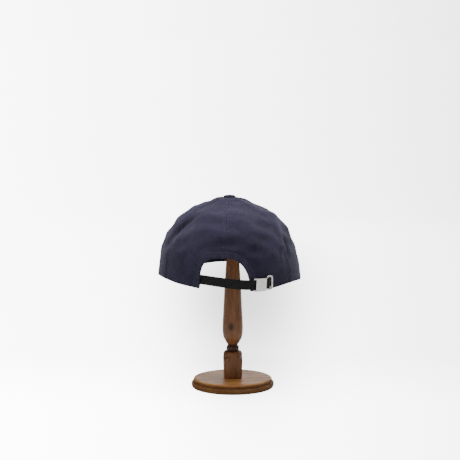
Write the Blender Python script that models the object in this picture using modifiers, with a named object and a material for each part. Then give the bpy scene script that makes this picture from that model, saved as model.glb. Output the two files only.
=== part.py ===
"""A six-panel cotton cap with a strap across its back, set on a turned wooden stand.

Metres, +Z up. The origin is the centre of the stand's foot, on the table. The cap's visor
points along +Y, so the wearer's left is at -X and the strap closes the cap at -Y.
"""

import math
from collections import namedtuple

import bmesh
import bpy
import numpy as np
from mathutils import Matrix, Vector

CLEARANCE = 0.0003

# Crown, measured in the cap's own frame over the plane of its rim
CROWN_WIDTH = 0.184
CROWN_BACK_REACH = 0.098
CROWN_FRONT_REACH = 0.099
CROWN_HEIGHT = 0.104
CROWN_PUFF = 0.0012
PANEL_THICKNESS = 0.0014
SEAM_GAP = 0.0004
TOP_HOLE_RADIUS = 0.003

# Cap's place on the stand, with its rim a little higher at the left
CAP_RIM_HEIGHT = 0.143
CAP_SHIFT = 0.0041
CAP_YAW = -2.9
RIM_TILT = 0.03

# Covered button
BUTTON_RADIUS = 0.0077
BUTTON_HEIGHT = 0.0024

# Visor
VISOR_LENGTH = 0.070
VISOR_THICKNESS = 0.0032
VISOR_SPREAD = 65.0
VISOR_TIP_WIDTH = 0.003
VISOR_RISE = 0.0058
VISOR_SLOPE = 0.105
VISOR_BOW_RADIUS = 0.200
VISOR_SQUARENESS = 2.3
VISOR_JOIN_START = 95.0

# Sweatband
SWEATBAND_HEIGHT = 0.028
SWEATBAND_THICKNESS = 0.0012
SWEATBAND_LIFT = 0.001
SWEATBAND_GAP = 0.0007

# Arched opening at the back, in distances round the crown from the middle of the back,
# and the binding on its edge
ARCH_LEFT = 0.0344
ARCH_RIGHT = 0.0318
ARCH_HEIGHT = 0.0403
ARCH_LEFT_SQUARENESS = 3.5
ARCH_RIGHT_SQUARENESS = 2.5
BINDING_WIDTH = 0.007
BINDING_THICKNESS = 0.0009

# Strap, in the same distances
STRAP_WIDTH = 0.0125
STRAP_THICKNESS = 0.0014
STRAP_HEIGHT = 0.0095
STRAP_FALL = 1.9
STRAP_HIDDEN_END = 0.014
STRAP_TAIL = 0.015

# Clasp: a tray with a pin on each side wall, and a lever that turns on them
CLASP_FROM_ARCH = 0.002
CLASP_LENGTH = 0.0163
CLASP_SHEET = 0.0006
CLASP_PIN_RADIUS = 0.0006
CLASP_PIN_FROM_END = 0.0015
CLASP_EAR_RADIUS = 0.0014
LEVER_THICKNESS = 0.0009
LEVER_CHEEK_LENGTH = 0.0036

# Slotted eyelet that takes the strap's tail, in the same distances
EYELET_PLACE = 0.0574
EYELET_SLOT_WIDTH = 0.0054
EYELET_RIM_WIDTH = 0.0022
EYELET_RIM_HEIGHT = 0.0008
EYELET_BARREL_WALL = 0.0005
EYELET_CORNER = 0.0017

# Wooden stand
BASE_RADIUS = 0.0534
BASE_THICKNESS = 0.012
BLOCK_WIDTH = 0.0246
BLOCK_FOOT_WIDTH = 0.022
BLOCK_HEIGHT = 0.0356
SHOULDER_DROP = 0.0068
POST_TURN = 4.0
POST_RADIUS = 0.0132
HEAD_RADIUS = 0.030
HEAD_HEIGHT = 0.028
HEAD_SEAT_RADIUS = 0.012
HEAD_WAIST_RADIUS = 0.0288
HEAD_WAIST_SHARE = 0.55

# Sections of the crown from rim to top: height as a share of the crown's height, and how far
# out the wall stands to each side as a share of its reach there.
Ring = namedtuple("Ring", "height left right back front")
CROWN_RINGS = (
    Ring(0.000, 0.998, 0.995, 0.970, 1.000),
    Ring(0.097, 0.982, 0.979, 0.988, 1.000),
    Ring(0.194, 0.966, 0.962, 1.000, 1.000),
    Ring(0.350, 0.938, 0.915, 0.985, 0.985),
    Ring(0.486, 0.880, 0.864, 0.945, 0.955),
    Ring(0.592, 0.817, 0.803, 0.885, 0.905),
    Ring(0.680, 0.753, 0.725, 0.820, 0.845),
    Ring(0.772, 0.662, 0.637, 0.722, 0.755),
    Ring(0.835, 0.561, 0.535, 0.630, 0.670),
    Ring(0.874, 0.494, 0.404, 0.510, 0.544),
    Ring(0.910, 0.382, 0.308, 0.350, 0.377),
    Ring(0.940, 0.280, 0.248, 0.269, 0.290),
    Ring(0.965, 0.225, 0.187, 0.209, 0.226),
    Ring(0.985, 0.177, 0.123, 0.151, 0.162),
    Ring(0.997, 0.066, 0.083, 0.075, 0.081),
    Ring(1.000, 0.000, 0.000, 0.000, 0.000),
)

# Dents and folds: the angle from the wearer's right side, the share of the crown's height
# that they lie at, their half length, half width and depth as shares of that height, and the
# turn of their long side from level. A negative depth is a ridge.
Dent = namedtuple("Dent", "angle height length width depth turn")
CROWN_DENTS = (
    Dent(-146.0, 0.660, 0.210, 0.065, 0.034, 60.0),
    Dent(-138.5, 0.540, 0.250, 0.065, -0.018, 50.0),
    Dent(-89.0, 0.525, 0.170, 0.065, 0.020, 0.0),
    Dent(-6.0, 0.775, 0.110, 0.065, -0.012, 0.0),
    Dent(-25.0, 0.440, 0.140, 0.045, 0.018, 74.0),
    Dent(-33.5, 0.410, 0.170, 0.045, -0.012, 72.0),
    Dent(100.0, 0.620, 0.200, 0.120, 0.012, 10.0),
)

# Height of the rear half of the rim over its tilted plane: the angle from the middle of the
# back, less than nothing to the wearer's left, and the lift as a share of the crown's height.
RimStep = namedtuple("RimStep", "angle lift")
RIM_STEPS = (
    RimStep(-180.0, 0.010),
    RimStep(-90.0, 0.014),
    RimStep(-72.0, 0.034),
    RimStep(-56.0, 0.029),
    RimStep(-40.0, 0.008),
    RimStep(-22.0, -0.008),
    RimStep(0.0, -0.014),
    RimStep(22.0, -0.018),
    RimStep(40.0, 0.006),
    RimStep(54.0, 0.033),
    RimStep(70.0, 0.040),
    RimStep(90.0, 0.018),
    RimStep(180.0, 0.010),
)

# Turned shapes from the top down: height as a share of the piece's height, radius as a share
# of its radius.
Turn = namedtuple("Turn", "height radius")
BUTTON_TURNS = (
    Turn(1.000, 0.300),
    Turn(0.930, 0.560),
    Turn(0.780, 0.790),
    Turn(0.530, 0.950),
    Turn(0.260, 1.000),
    Turn(0.060, 0.960),
    Turn(0.000, 0.860),
)
BASE_TURNS = (
    Turn(1.000, 0.899),
    Turn(0.950, 0.936),
    Turn(0.840, 0.948),
    Turn(0.720, 0.948),
    Turn(0.660, 0.940),
    Turn(0.625, 0.932),
    Turn(0.600, 0.966),
    Turn(0.525, 0.989),
    Turn(0.375, 1.000),
    Turn(0.180, 0.996),
    Turn(0.050, 0.984),
    Turn(0.000, 0.970),
)
POST_TURNS = (
    Turn(1.000, 0.492),
    Turn(0.840, 0.570),
    Turn(0.685, 0.652),
    Turn(0.630, 0.689),
    Turn(0.473, 0.818),
    Turn(0.378, 0.875),
    Turn(0.276, 0.943),
    Turn(0.215, 0.985),
    Turn(0.168, 1.000),
    Turn(0.138, 0.982),
    Turn(0.109, 0.924),
    Turn(0.092, 0.850),
    Turn(0.078, 0.750),
    Turn(0.058, 0.610),
    Turn(0.048, 0.520),
    Turn(0.040, 0.489),
    Turn(0.031, 0.583),
    Turn(0.016, 0.614),
    Turn(0.000, 0.568),
)
HEAD_SHARES = (0.10, 0.17, 0.24, 0.31, 0.38, 0.45, 0.52, 0.59, 0.66, 0.73, 0.80, 0.87, 0.94, 1.0)

PANEL_NAMES = (
    "panel_back_right",
    "panel_side_right",
    "panel_front_right",
    "panel_front_left",
    "panel_side_left",
    "panel_back_left",
)
PANEL_ANGLE = 360.0 / len(PANEL_NAMES)
BACK_ANGLE = -90.0
TOP_LEVEL = len(CROWN_RINGS) - 1.0
PANEL_COLUMNS = 9
PANEL_ROWS = 17
ARCH_STEPS = 28
SWEATBAND_COLUMNS = 44
VISOR_COLUMNS = 26
VISOR_ROWS = 5
EYELET_SIDES = 24
POST_SIDES = 24
BASE_SIDES = 40
SHOULDER_STEPS = 6
BUTTON_SIDES = 20
SAMPLES = 400
PROBE = 0.05
CUTTER_REACH = 0.007

NAVY = (0.030, 0.032, 0.065, 1.0)
DARK_NAVY = (0.012, 0.013, 0.026, 1.0)
BLACK = (0.010, 0.010, 0.010, 1.0)
SILVER = (0.72, 0.71, 0.69, 1.0)
WALNUT = (0.190, 0.080, 0.034, 1.0)


def empty_scene():
    """Clears whatever the file holds before the model is made."""
    for thing in list(bpy.data.objects):
        bpy.data.objects.remove(thing)


def collection(name):
    made = bpy.data.collections.new(name)
    bpy.context.scene.collection.children.link(made)
    return made


def material(name, colour, roughness, metallic=0.0):
    made = bpy.data.materials.new(name)
    made.use_nodes = True
    shader = made.node_tree.nodes["Principled BSDF"]
    shader.inputs["Base Color"].default_value = colour
    shader.inputs["Roughness"].default_value = roughness
    shader.inputs["Metallic"].default_value = metallic
    return made


def smooth_step(share):
    share = np.clip(share, 0.0, 1.0)
    return share * share * share * (share * (6.0 * share - 15.0) + 10.0)


def table_value(rows, column, level):
    """A column's value at a level counted in rows, on a smooth curve through the rows."""
    values = np.array([getattr(row, column) for row in rows])
    level = np.clip(np.asarray(level, float), 0.0, len(values) - 1.0)
    first = np.minimum(level.astype(int), len(values) - 2)
    share = level - first
    slopes = np.gradient(values)
    rise = values[first + 1] - values[first]
    ease = share * share * (3.0 - 2.0 * share)
    start = slopes[first] * share * (1.0 - share) ** 2
    finish = slopes[first + 1] * share * share * (1.0 - share)
    return values[first] + rise * ease + start - finish


def crown_plan(angle, level):
    """The crown's outline from above at a level: four quarters of ovals, as x and y."""
    turn = np.radians(angle)
    across, forward = np.cos(turn), np.sin(turn)
    left, right = (table_value(CROWN_RINGS, side, level) for side in ("left", "right"))
    back, front = (table_value(CROWN_RINGS, end, level) for end in ("back", "front"))
    x = CROWN_WIDTH / 2 * np.where(across < 0, left, right) * across
    y = np.where(forward < 0, CROWN_BACK_REACH * back, CROWN_FRONT_REACH * front) * forward
    return x, y


def visor_underside(x, y):
    """Height of the bowed, sloping visor's lower face over the rim's plane."""
    forward = y - CROWN_FRONT_REACH
    return VISOR_RISE - VISOR_SLOPE * forward - x * x / (2 * VISOR_BOW_RADIUS) - RIM_TILT * x


def from_back(angle):
    """An angle counted from the middle of the back, between -180 and 180."""
    return (np.asarray(angle, float) - BACK_ANGLE + 180.0) % 360.0 - 180.0


def rim_height(angle):
    """Height of the crown's lower edge: it waves at the back and follows the visor in front."""
    away = from_back(angle)
    stops = np.array([step.angle for step in RIM_STEPS])
    level = np.interp(away, stops, np.arange(len(stops)))
    x, y = crown_plan(angle, 0.0)
    rear = CROWN_HEIGHT * table_value(RIM_STEPS, "lift", level) - RIM_TILT * x
    join_end = 180.0 - VISOR_SPREAD
    front = smooth_step((np.abs(away) - VISOR_JOIN_START) / (join_end - VISOR_JOIN_START))
    return rear * (1.0 - front) + visor_underside(x, y) * front


def smooth_crown(angle, level):
    """The crown's outer surface with no puff or dents, in the cap's own frame."""
    angle, level = np.broadcast_arrays(np.asarray(angle, float), np.asarray(level, float))
    x, y = crown_plan(angle, level)
    rim = rim_height(angle)
    z = rim + (CROWN_HEIGHT - rim) * table_value(CROWN_RINGS, "height", level)
    return np.stack([x, y, z], -1)


def unit(vectors):
    return vectors / np.linalg.norm(vectors, axis=-1, keepdims=True)


def wall_directions(angle, level):
    """Unit directions at a place on the smooth crown: round it, up it and out of it."""
    level = np.minimum(level, TOP_LEVEL - PROBE)
    across = smooth_crown(angle + PROBE, level) - smooth_crown(angle - PROBE, level)
    upward = smooth_crown(angle, level + PROBE) - smooth_crown(angle, level - PROBE)
    across, outward = unit(across), unit(np.cross(across, upward))
    return across, np.cross(outward, across), outward


def crown_relief(angle, level):
    """Puff of each panel between its seams, less the dents and folds."""
    point = smooth_crown(angle, level)
    height = table_value(CROWN_RINGS, "height", level)
    seams = math.pi * from_back(angle) / PANEL_ANGLE
    relief = CROWN_PUFF * np.sin(seams) ** 2 * np.sin(math.pi * height)
    for dent in CROWN_DENTS:
        level_there = level_at(dent.height * CROWN_HEIGHT)
        sideways, upward, outward = wall_directions(dent.angle, level_there)
        turn = math.radians(dent.turn)
        along = sideways * math.cos(turn) + upward * math.sin(turn)
        over = upward * math.cos(turn) - sideways * math.sin(turn)
        off = (point - smooth_crown(dent.angle, level_there)) / CROWN_HEIGHT
        spread = (off @ along / dent.length) ** 2 + (off @ outward / dent.length) ** 2
        relief = relief - CROWN_HEIGHT * dent.depth * np.exp(
            -spread - (off @ over / dent.width) ** 2
        )
    return relief


def crown_point(angle, level, outward=0.0):
    """A point on the crown, so far outside its surface."""
    angle, level = np.broadcast_arrays(np.asarray(angle, float), np.asarray(level, float))
    off = np.asarray(outward + crown_relief(angle, level))[..., None]
    return smooth_crown(angle, level) + wall_directions(angle, level)[2] * off


def level_at(height):
    """The level of a point so far above the rim."""
    levels = np.linspace(0.0, TOP_LEVEL, SAMPLES)
    return np.interp(height, CROWN_HEIGHT * table_value(CROWN_RINGS, "height", levels), levels)


def ring_distances():
    """Angles all the way round and each one's distance from the middle of the back."""
    angles = np.linspace(-180.0, 180.0, 4 * SAMPLES + 1) + BACK_ANGLE
    points = smooth_crown(angles, level_at(STRAP_HEIGHT))[:, :2]
    lengths = np.cumsum(np.linalg.norm(np.diff(points, axis=0), axis=1))
    lengths = np.concatenate([[0.0], lengths])
    return angles, lengths - lengths[len(angles) // 2]


def angle_at(distance):
    angles, lengths = ring_distances()
    return np.interp(distance, lengths, angles)


def near_rim(distance, height, outward=0.0):
    """A point at a distance round the crown and a height over its rim."""
    distance, height = np.broadcast_arrays(np.asarray(distance, float), height)
    point = crown_point(angle_at(distance), level_at(height), outward)
    point[..., 2] += np.minimum(height, 0.0)
    return point


def strap_middle(distance):
    """Height of the strap's middle line over the rim."""
    return STRAP_HEIGHT - math.tan(math.radians(STRAP_FALL)) * np.asarray(distance, float)


def strap_directions(distance):
    """Unit directions on the strap's middle line: along it, across it and out of the wall."""
    step = 0.1 * STRAP_WIDTH
    ahead = near_rim(distance + step, strap_middle(distance + step))
    behind = near_rim(distance - step, strap_middle(distance - step))
    above = near_rim(distance, strap_middle(distance) + step)
    below = near_rim(distance, strap_middle(distance) - step)
    along = unit(ahead - behind)
    outward = unit(np.cross(along, above - below))
    return along, np.cross(outward, along), outward


def seat_frame(distance):
    """A frame on the wall at the strap's middle line: X along the strap, Z out of the wall."""
    axes = [Vector(direction) for direction in strap_directions(distance)]
    here = near_rim(distance, strap_middle(distance))
    return Matrix.Translation(here) @ Matrix(axes).transposed().to_4x4()


def cap_frame():
    """Where the cap sits: its own frame has the rim's plane at height zero."""
    place = Matrix.Translation((-CAP_SHIFT, 0.0, CAP_RIM_HEIGHT))
    return place @ Matrix.Rotation(math.radians(CAP_YAW), 4, "Z")


def add_object(name, mesh, group, finish=None, parent=None, place=None):
    made = bpy.data.objects.new(name, mesh)
    group.objects.link(made)
    if finish:
        mesh.materials.append(finish)
    made.parent = parent
    if place:
        made.matrix_basis = place
    return made


def add_helper(name, mesh, group, parent=None, place=None):
    """A cutter or a shape to be joined, left out of a render."""
    made = add_object(name, mesh, group, None, parent, place)
    made.hide_render = True
    made.display_type = "WIRE"
    return made


def grid_mesh(name, columns, rows, place):
    """A grid bent onto a surface: place takes the two shares as arrays and gives points."""
    sheet = bmesh.new()
    bmesh.ops.create_grid(sheet, x_segments=columns, y_segments=rows, size=0.5)
    shares = np.array([vertex.co[:2] for vertex in sheet.verts]) + 0.5
    for vertex, point in zip(sheet.verts, place(shares[:, 0], shares[:, 1])):
        vertex.co = point
    mesh = bpy.data.meshes.new(name)
    sheet.to_mesh(mesh)
    sheet.free()
    mesh.shade_smooth()
    return mesh


def deepen(mesh, depth):
    """Closes an open sheet into a solid by extruding it straight down."""
    solid = bmesh.new()
    solid.from_mesh(mesh)
    made = bmesh.ops.extrude_face_region(solid, geom=solid.faces[:])["geom"]
    low = [item for item in made if isinstance(item, bmesh.types.BMVert)]
    bmesh.ops.translate(solid, vec=(0.0, 0.0, -depth), verts=low)
    bmesh.ops.recalc_face_normals(solid, faces=solid.faces)
    solid.to_mesh(mesh)
    solid.free()


def add_solidify(thing, thickness, offset=-1.0):
    shell = thing.modifiers.new("wall", "SOLIDIFY")
    shell.thickness = thickness
    shell.offset = offset
    shell.use_even_offset = True


def add_boolean(thing, other, operation):
    step = thing.modifiers.new(operation.lower(), "BOOLEAN")
    step.operation = operation
    step.object = other


def loft(name, sections, closed_path=False):
    """A skin through sections that each hold the same ring of points."""
    skin = bmesh.new()
    rings = [[skin.verts.new(point) for point in section] for section in sections]
    pairs = list(zip(rings, rings[1:]))
    if closed_path:
        pairs.append((rings[-1], rings[0]))
    else:
        skin.faces.new(rings[0])
        skin.faces.new(reversed(rings[-1]))
    for first, second in pairs:
        for i in range(len(first)):
            j = (i + 1) % len(first)
            skin.faces.new((first[j], first[i], second[i], second[j]))
    bmesh.ops.recalc_face_normals(skin, faces=skin.faces)
    mesh = bpy.data.meshes.new(name)
    skin.to_mesh(mesh)
    skin.free()
    return mesh


def turned(name, profile, group, sides, finish=None, parent=None):
    """A profile of radius and height, from the top down, turned about the Z axis."""
    line = bmesh.new()
    points = [(0.0, profile[0][1]), *profile, (0.0, profile[-1][1])]
    verts = [line.verts.new((radius, 0.0, height)) for radius, height in points]
    for first, second in zip(verts, verts[1:]):
        line.edges.new((first, second))
    mesh = bpy.data.meshes.new(name)
    line.to_mesh(mesh)
    line.free()
    made = add_object(name, mesh, group, finish, parent)
    screw = made.modifiers.new("turn", "SCREW")
    screw.axis = "Z"
    screw.steps = sides
    screw.render_steps = sides
    screw.use_merge_vertices = True
    screw.merge_threshold = 0.00001
    return made


def box_mesh(name, low, high):
    """A box between two corners."""
    low, high = Vector(low), Vector(high)
    cube = bmesh.new()
    bmesh.ops.create_cube(cube, size=1.0)
    bmesh.ops.scale(cube, vec=high - low, verts=cube.verts)
    bmesh.ops.translate(cube, vec=(low + high) / 2, verts=cube.verts)
    mesh = bpy.data.meshes.new(name)
    cube.to_mesh(mesh)
    cube.free()
    return mesh


def rod_mesh(name, radius, start, end, x, z, sides=16):
    """A rod along Y between two distances, centred at the given X and Z."""
    rod = bmesh.new()
    bmesh.ops.create_cone(
        rod, cap_ends=True, segments=sides, radius1=radius, radius2=radius, depth=end - start
    )
    bmesh.ops.rotate(rod, matrix=Matrix.Rotation(math.pi / 2, 3, "X"), verts=rod.verts)
    bmesh.ops.translate(rod, vec=(x, (start + end) / 2, z), verts=rod.verts)
    mesh = bpy.data.meshes.new(name)
    rod.to_mesh(mesh)
    rod.free()
    return mesh


def arch_outline(steps):
    """Distance and height along the edge of the back opening, from left rim to right rim."""
    turn = np.linspace(math.pi, 0.0, steps + 1)
    across = np.cos(turn)
    power = 2.0 / np.where(across < 0, ARCH_LEFT_SQUARENESS, ARCH_RIGHT_SQUARENESS)
    reach = np.where(across < 0, ARCH_LEFT, ARCH_RIGHT)
    distance = reach * np.sign(across) * np.abs(across) ** power
    height = ARCH_HEIGHT * np.clip(np.sin(turn), 0.0, 1.0) ** power
    return distance, height


def make_arch_cutter(group, parent):
    """The plug that cuts the back opening, its sides square to the crown's wall."""
    distance, height = arch_outline(ARCH_STEPS)
    below = -2 * CUTTER_REACH
    distance = np.concatenate([[distance[0]], distance, [distance[-1]]])
    height = np.concatenate([[below], height, [below]])
    outer = near_rim(distance, height, CUTTER_REACH)
    inner = near_rim(distance, height, -CUTTER_REACH)
    return add_helper("arch_cutter", loft("arch_cutter", [outer, inner]), group, parent)


def slot_outline(grow):
    """The eyelet's slot from above, a rounded oblong, made larger all round."""
    turn = 2 * math.pi * (np.arange(EYELET_SIDES) + 0.5) / EYELET_SIDES
    corner = EYELET_CORNER + grow
    x = corner * np.cos(turn) + (EYELET_SLOT_WIDTH / 2 - EYELET_CORNER) * np.sign(np.cos(turn))
    half_height = STRAP_WIDTH / 2 + 3 * CLEARANCE
    y = corner * np.sin(turn) + (half_height - EYELET_CORNER) * np.sign(np.sin(turn))
    return np.stack([x, y], -1)


def binding_top():
    return CLEARANCE + BINDING_THICKNESS


def clasp_start():
    return ARCH_RIGHT + CLASP_FROM_ARCH


def clasp_base():
    """Height of the tray's underside over the wall: it lies on the binding."""
    return binding_top() + CLEARANCE


def make_slot_cutter(group, parent):
    """The slot through the back right panel, cut round the eyelet's barrel."""
    loop = slot_outline(EYELET_BARREL_WALL + CLEARANCE)
    sections = [[(x, y, z) for x, y in loop] for z in (CUTTER_REACH, -CUTTER_REACH)]
    mesh = loft("slot_cutter", sections)
    return add_helper("slot_cutter", mesh, group, parent, seat_frame(EYELET_PLACE))


def make_panels(group, cutters, finish, parent):
    """Six tapered panels that meet at the top, with a fine seam between each two."""
    arch = make_arch_cutter(cutters, parent)
    slot = make_slot_cutter(cutters, parent)
    rings = np.linspace(TOP_LEVEL - 1.0, TOP_LEVEL, SAMPLES)
    last = float(np.interp(-TOP_HOLE_RADIUS, -crown_plan(0.0, rings)[0], rings))
    for index, name in enumerate(PANEL_NAMES):
        start = BACK_ANGLE + PANEL_ANGLE * index

        def place(across, up, start=start):
            level = last * up
            radius = np.hypot(*crown_plan(start + PANEL_ANGLE / 2, level))
            inset = np.degrees(SEAM_GAP / 2 / radius)
            angle = start + inset + (PANEL_ANGLE - 2 * inset) * across
            return crown_point(angle, level)

        mesh = grid_mesh(name, PANEL_COLUMNS, PANEL_ROWS, place)
        panel = add_object(name, mesh, group, finish, parent)
        add_solidify(panel, PANEL_THICKNESS)
        if name.startswith("panel_back"):
            add_boolean(panel, arch, "DIFFERENCE")
        if name == "panel_back_right":
            add_boolean(panel, slot, "DIFFERENCE")


def make_button(group, finish, parent):
    """The covered button on the crown's top."""
    seat = CROWN_HEIGHT + CLEARANCE
    profile = [(BUTTON_RADIUS * t.radius, seat + BUTTON_HEIGHT * t.height) for t in BUTTON_TURNS]
    turned("top_button", profile, group, BUTTON_SIDES, finish, parent)


def make_visor(group, finish, parent):
    """The bowed visor, its inner edge butted to the crown's wall at the rim."""

    def edge(across):
        angle = 90.0 + VISOR_SPREAD * (1.0 - 2.0 * across)
        point = crown_point(angle, 0.0, CLEARANCE)
        return point[..., 0], point[..., 1]

    tip_x, tip_y = edge(np.array(1.0))
    half = float(tip_x) + VISOR_TIP_WIDTH
    start_y = float(tip_y) - VISOR_TIP_WIDTH
    reach = CROWN_FRONT_REACH + VISOR_LENGTH - start_y

    def place(across, out):
        inner_x, inner_y = edge(across)
        turn = math.pi / 2 * (2.0 * across - 1.0)
        power = 2.0 / VISOR_SQUARENESS
        outer_x = half * np.sign(turn) * np.abs(np.sin(turn)) ** power
        outer_y = start_y + reach * np.clip(np.cos(turn), 0.0, 1.0) ** power
        x = inner_x + (outer_x - inner_x) * out
        y = inner_y + (outer_y - inner_y) * out
        return np.stack([x, y, visor_underside(x, y) + VISOR_THICKNESS], -1)

    mesh = grid_mesh("visor", VISOR_COLUMNS, VISOR_ROWS, place)
    deepen(mesh, VISOR_THICKNESS)
    add_object("visor", mesh, group, finish, parent)


def pressed_in(distance, start, end):
    """One between two places round the rim, easing to nothing a strap's width beyond them."""
    rising = smooth_step(1.0 + (distance - start) / STRAP_WIDTH)
    falling = smooth_step(1.0 + (end - distance) / STRAP_WIDTH)
    return rising * falling


def sweatband_depth(distance):
    """How far inside the wall the sweatband lies: deeper where the strap's ends pass."""
    left = pressed_in(distance, -ARCH_LEFT - STRAP_HIDDEN_END, -ARCH_LEFT)
    right = pressed_in(distance, EYELET_PLACE, EYELET_PLACE + STRAP_TAIL)
    return PANEL_THICKNESS + SWEATBAND_GAP + (STRAP_THICKNESS + CLEARANCE) * (left + right)


def make_sweatband(group, finish, parent):
    """The band inside the rim, from one side of the back opening round to the other."""
    half_round = ring_distances()[1][-1]
    start = ARCH_RIGHT + CLEARANCE
    length = 2 * half_round - ARCH_LEFT - ARCH_RIGHT - 2 * CLEARANCE

    def place(across, up):
        distance = start + length * across
        distance = np.where(distance > half_round, distance - 2 * half_round, distance)
        height = SWEATBAND_LIFT + SWEATBAND_HEIGHT * up
        return near_rim(distance, height, -sweatband_depth(distance))

    mesh = grid_mesh("sweatband", SWEATBAND_COLUMNS, 2, place)
    add_solidify(add_object("sweatband", mesh, group, finish, parent), SWEATBAND_THICKNESS)


def make_binding(group, finish, parent):
    """The folded strip on the back opening's edge: an L that covers the edge and its face."""
    distance, height = arch_outline(ARCH_STEPS)
    edge = near_rim(distance, height)
    along = unit(np.gradient(edge, axis=0))
    outward = wall_directions(angle_at(distance), level_at(height))[2]
    aside = unit(np.cross(outward, along))
    gap = CLEARANCE
    thick = BINDING_THICKNESS
    top = binding_top()
    crease = 0.3 * thick
    shape = (
        (-gap - thick, -PANEL_THICKNESS),
        (-gap, -PANEL_THICKNESS),
        (-gap, gap),
        (BINDING_WIDTH, gap),
        (BINDING_WIDTH, top - crease),
        (BINDING_WIDTH - crease, top),
        (-gap - thick + crease, top),
        (-gap - thick, top - crease),
    )
    sections = [
        [point + side * b + out * n for b, n in shape]
        for point, side, out in zip(edge, aside, outward)
    ]
    add_object("back_arch_binding", loft("back_arch_binding", sections), group, finish, parent)


def strap_inside():
    """Offset of the strap's middle where it runs inside the wall."""
    return -(PANEL_THICKNESS + CLEARANCE + STRAP_THICKNESS / 2)


def strap_outside():
    """Offset of the strap's middle where it runs over the binding, the tray and the eyelet."""
    tallest = max(clasp_base() + CLASP_SHEET + CLEARANCE, CLEARANCE + EYELET_RIM_HEIGHT)
    return tallest + CLEARANCE + STRAP_THICKNESS / 2


def dive_length():
    return EYELET_SLOT_WIDTH + STRAP_THICKNESS


def strap_offset(distance):
    """How far out the strap's middle lies: inside at the left, over the clasp, then in again."""
    wrap = CLEARANCE + BINDING_THICKNESS
    start, end = wrap - ARCH_LEFT, ARCH_RIGHT - wrap
    over = smooth_step((distance - start) / (end - start))
    middle = EYELET_PLACE - CLEARANCE
    dive = np.clip(0.5 + (distance - middle) / dive_length(), 0.0, 1.0)
    dive = dive * dive * (3.0 - 2.0 * dive)
    return strap_inside() + (strap_outside() - strap_inside()) * (over - dive)


def make_strap(group, finish, parent):
    """The strap: sewn in at the left, through the clasp, its tail in the eyelet's slot."""
    dive = dive_length() / 2
    stops = (
        (-ARCH_LEFT - STRAP_HIDDEN_END, -ARCH_LEFT, 3),
        (-ARCH_LEFT, ARCH_RIGHT, 16),
        (ARCH_RIGHT, EYELET_PLACE - dive, 6),
        (EYELET_PLACE - dive, EYELET_PLACE + dive, 8),
        (EYELET_PLACE + dive, EYELET_PLACE + STRAP_TAIL, 3),
    )
    runs = [np.linspace(start, end, count, endpoint=False) for start, end, count in stops]
    distances = np.concatenate([*runs, [stops[-1][1]]])

    def place(along, up):
        distance = distances[np.round(along * (len(distances) - 1)).astype(int)]
        _, across, outward = strap_directions(distance)
        middle = near_rim(distance, strap_middle(distance))
        lean = np.asarray(strap_offset(distance))[..., None]
        return middle + outward * lean + across * (STRAP_WIDTH * (up - 0.5))[..., None]

    mesh = grid_mesh("strap", len(distances) - 1, 1, place)
    strap = add_object("strap", mesh, group, finish, parent)
    add_solidify(strap, STRAP_THICKNESS, offset=0.0)


def clasp_levels():
    """Heights over the wall shared by the tray and the lever: pin, wall top and lever foot."""
    lever_low = strap_outside() + STRAP_THICKNESS / 2 + 1.5 * CLEARANCE
    wall_top = lever_low - CLEARANCE
    return wall_top - CLASP_PIN_RADIUS - CLEARANCE, wall_top, lever_low


def make_clasp_frame(group, cutters, finish, parent, frame):
    """The tray under the strap, its two side walls and the pins that stand out of them."""
    pin_height, wall_top, _ = clasp_levels()
    half = CLASP_LENGTH / 2
    inner = STRAP_WIDTH / 2 + CLEARANCE
    outer = inner + CLASP_SHEET
    base = clasp_base()
    floor = base + CLASP_SHEET
    channel = (
        (-outer, base),
        (outer, base),
        (outer, wall_top),
        (inner, wall_top),
        (inner, floor),
        (-inner, floor),
        (-inner, wall_top),
        (-outer, wall_top),
    )
    mesh = loft("clasp_frame", [[(x, y, z) for y, z in channel] for x in (-half, half)])
    tray = add_object("clasp_frame", mesh, group, finish, parent, frame)
    for name, side in (("low", -1.0), ("high", 1.0)):
        near, far = sorted((side * (inner + outer) / 2, side * (outer + CLEARANCE + CLASP_SHEET)))
        pin = rod_mesh("pin", CLASP_PIN_RADIUS, near, far, CLASP_PIN_FROM_END - half, pin_height)
        add_boolean(tray, add_helper(f"tray_pin_{name}", pin, cutters, parent, frame), "UNION")


def cheek_outline(height):
    """A lever cheek from the side: a round ear about the pin, widening up to the plate."""
    turns = np.radians(np.linspace(-50.0, -235.0, 9))
    ear = [(CLASP_EAR_RADIUS * math.cos(t), CLASP_EAR_RADIUS * math.sin(t)) for t in turns]
    return [*ear, (0.0, height), (LEVER_CHEEK_LENGTH, height)]


def make_clasp_lever(group, cutters, finish, parent, frame):
    """The lever's plate, with a rounded cheek each side that turns on the tray's pins."""
    pin_height, _, lever_low = clasp_levels()
    cheek_in = STRAP_WIDTH / 2 + CLASP_SHEET + 2 * CLEARANCE
    cheek_out = cheek_in + CLASP_SHEET
    reach = cheek_out + CLEARANCE / 2
    hinge = frame @ Matrix.Translation((CLASP_PIN_FROM_END - CLASP_LENGTH / 2, 0.0, pin_height))
    low = lever_low - pin_height
    top = low + LEVER_THICKNESS
    end = CLASP_LENGTH - CLASP_PIN_FROM_END
    plate = box_mesh("clasp_lever", (CLASP_EAR_RADIUS, -reach, low), (end, reach, top))
    lever = add_object("clasp_lever", plate, group, finish, parent, hinge)
    outline = cheek_outline((low + top) / 2)
    for name, side in (("low", -1.0), ("high", 1.0)):
        sections = [[(x, side * y, z) for x, z in outline] for y in (cheek_in, cheek_out)]
        cheek = add_helper(f"cheek_{name}", loft("cheek", sections), cutters, parent, hinge)
        add_boolean(lever, cheek, "UNION")
    bore = rod_mesh("bore", CLASP_PIN_RADIUS + CLEARANCE, -2 * reach, 2 * reach, 0.0, 0.0)
    add_boolean(lever, add_helper("lever_bore", bore, cutters, parent, hinge), "DIFFERENCE")


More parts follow.
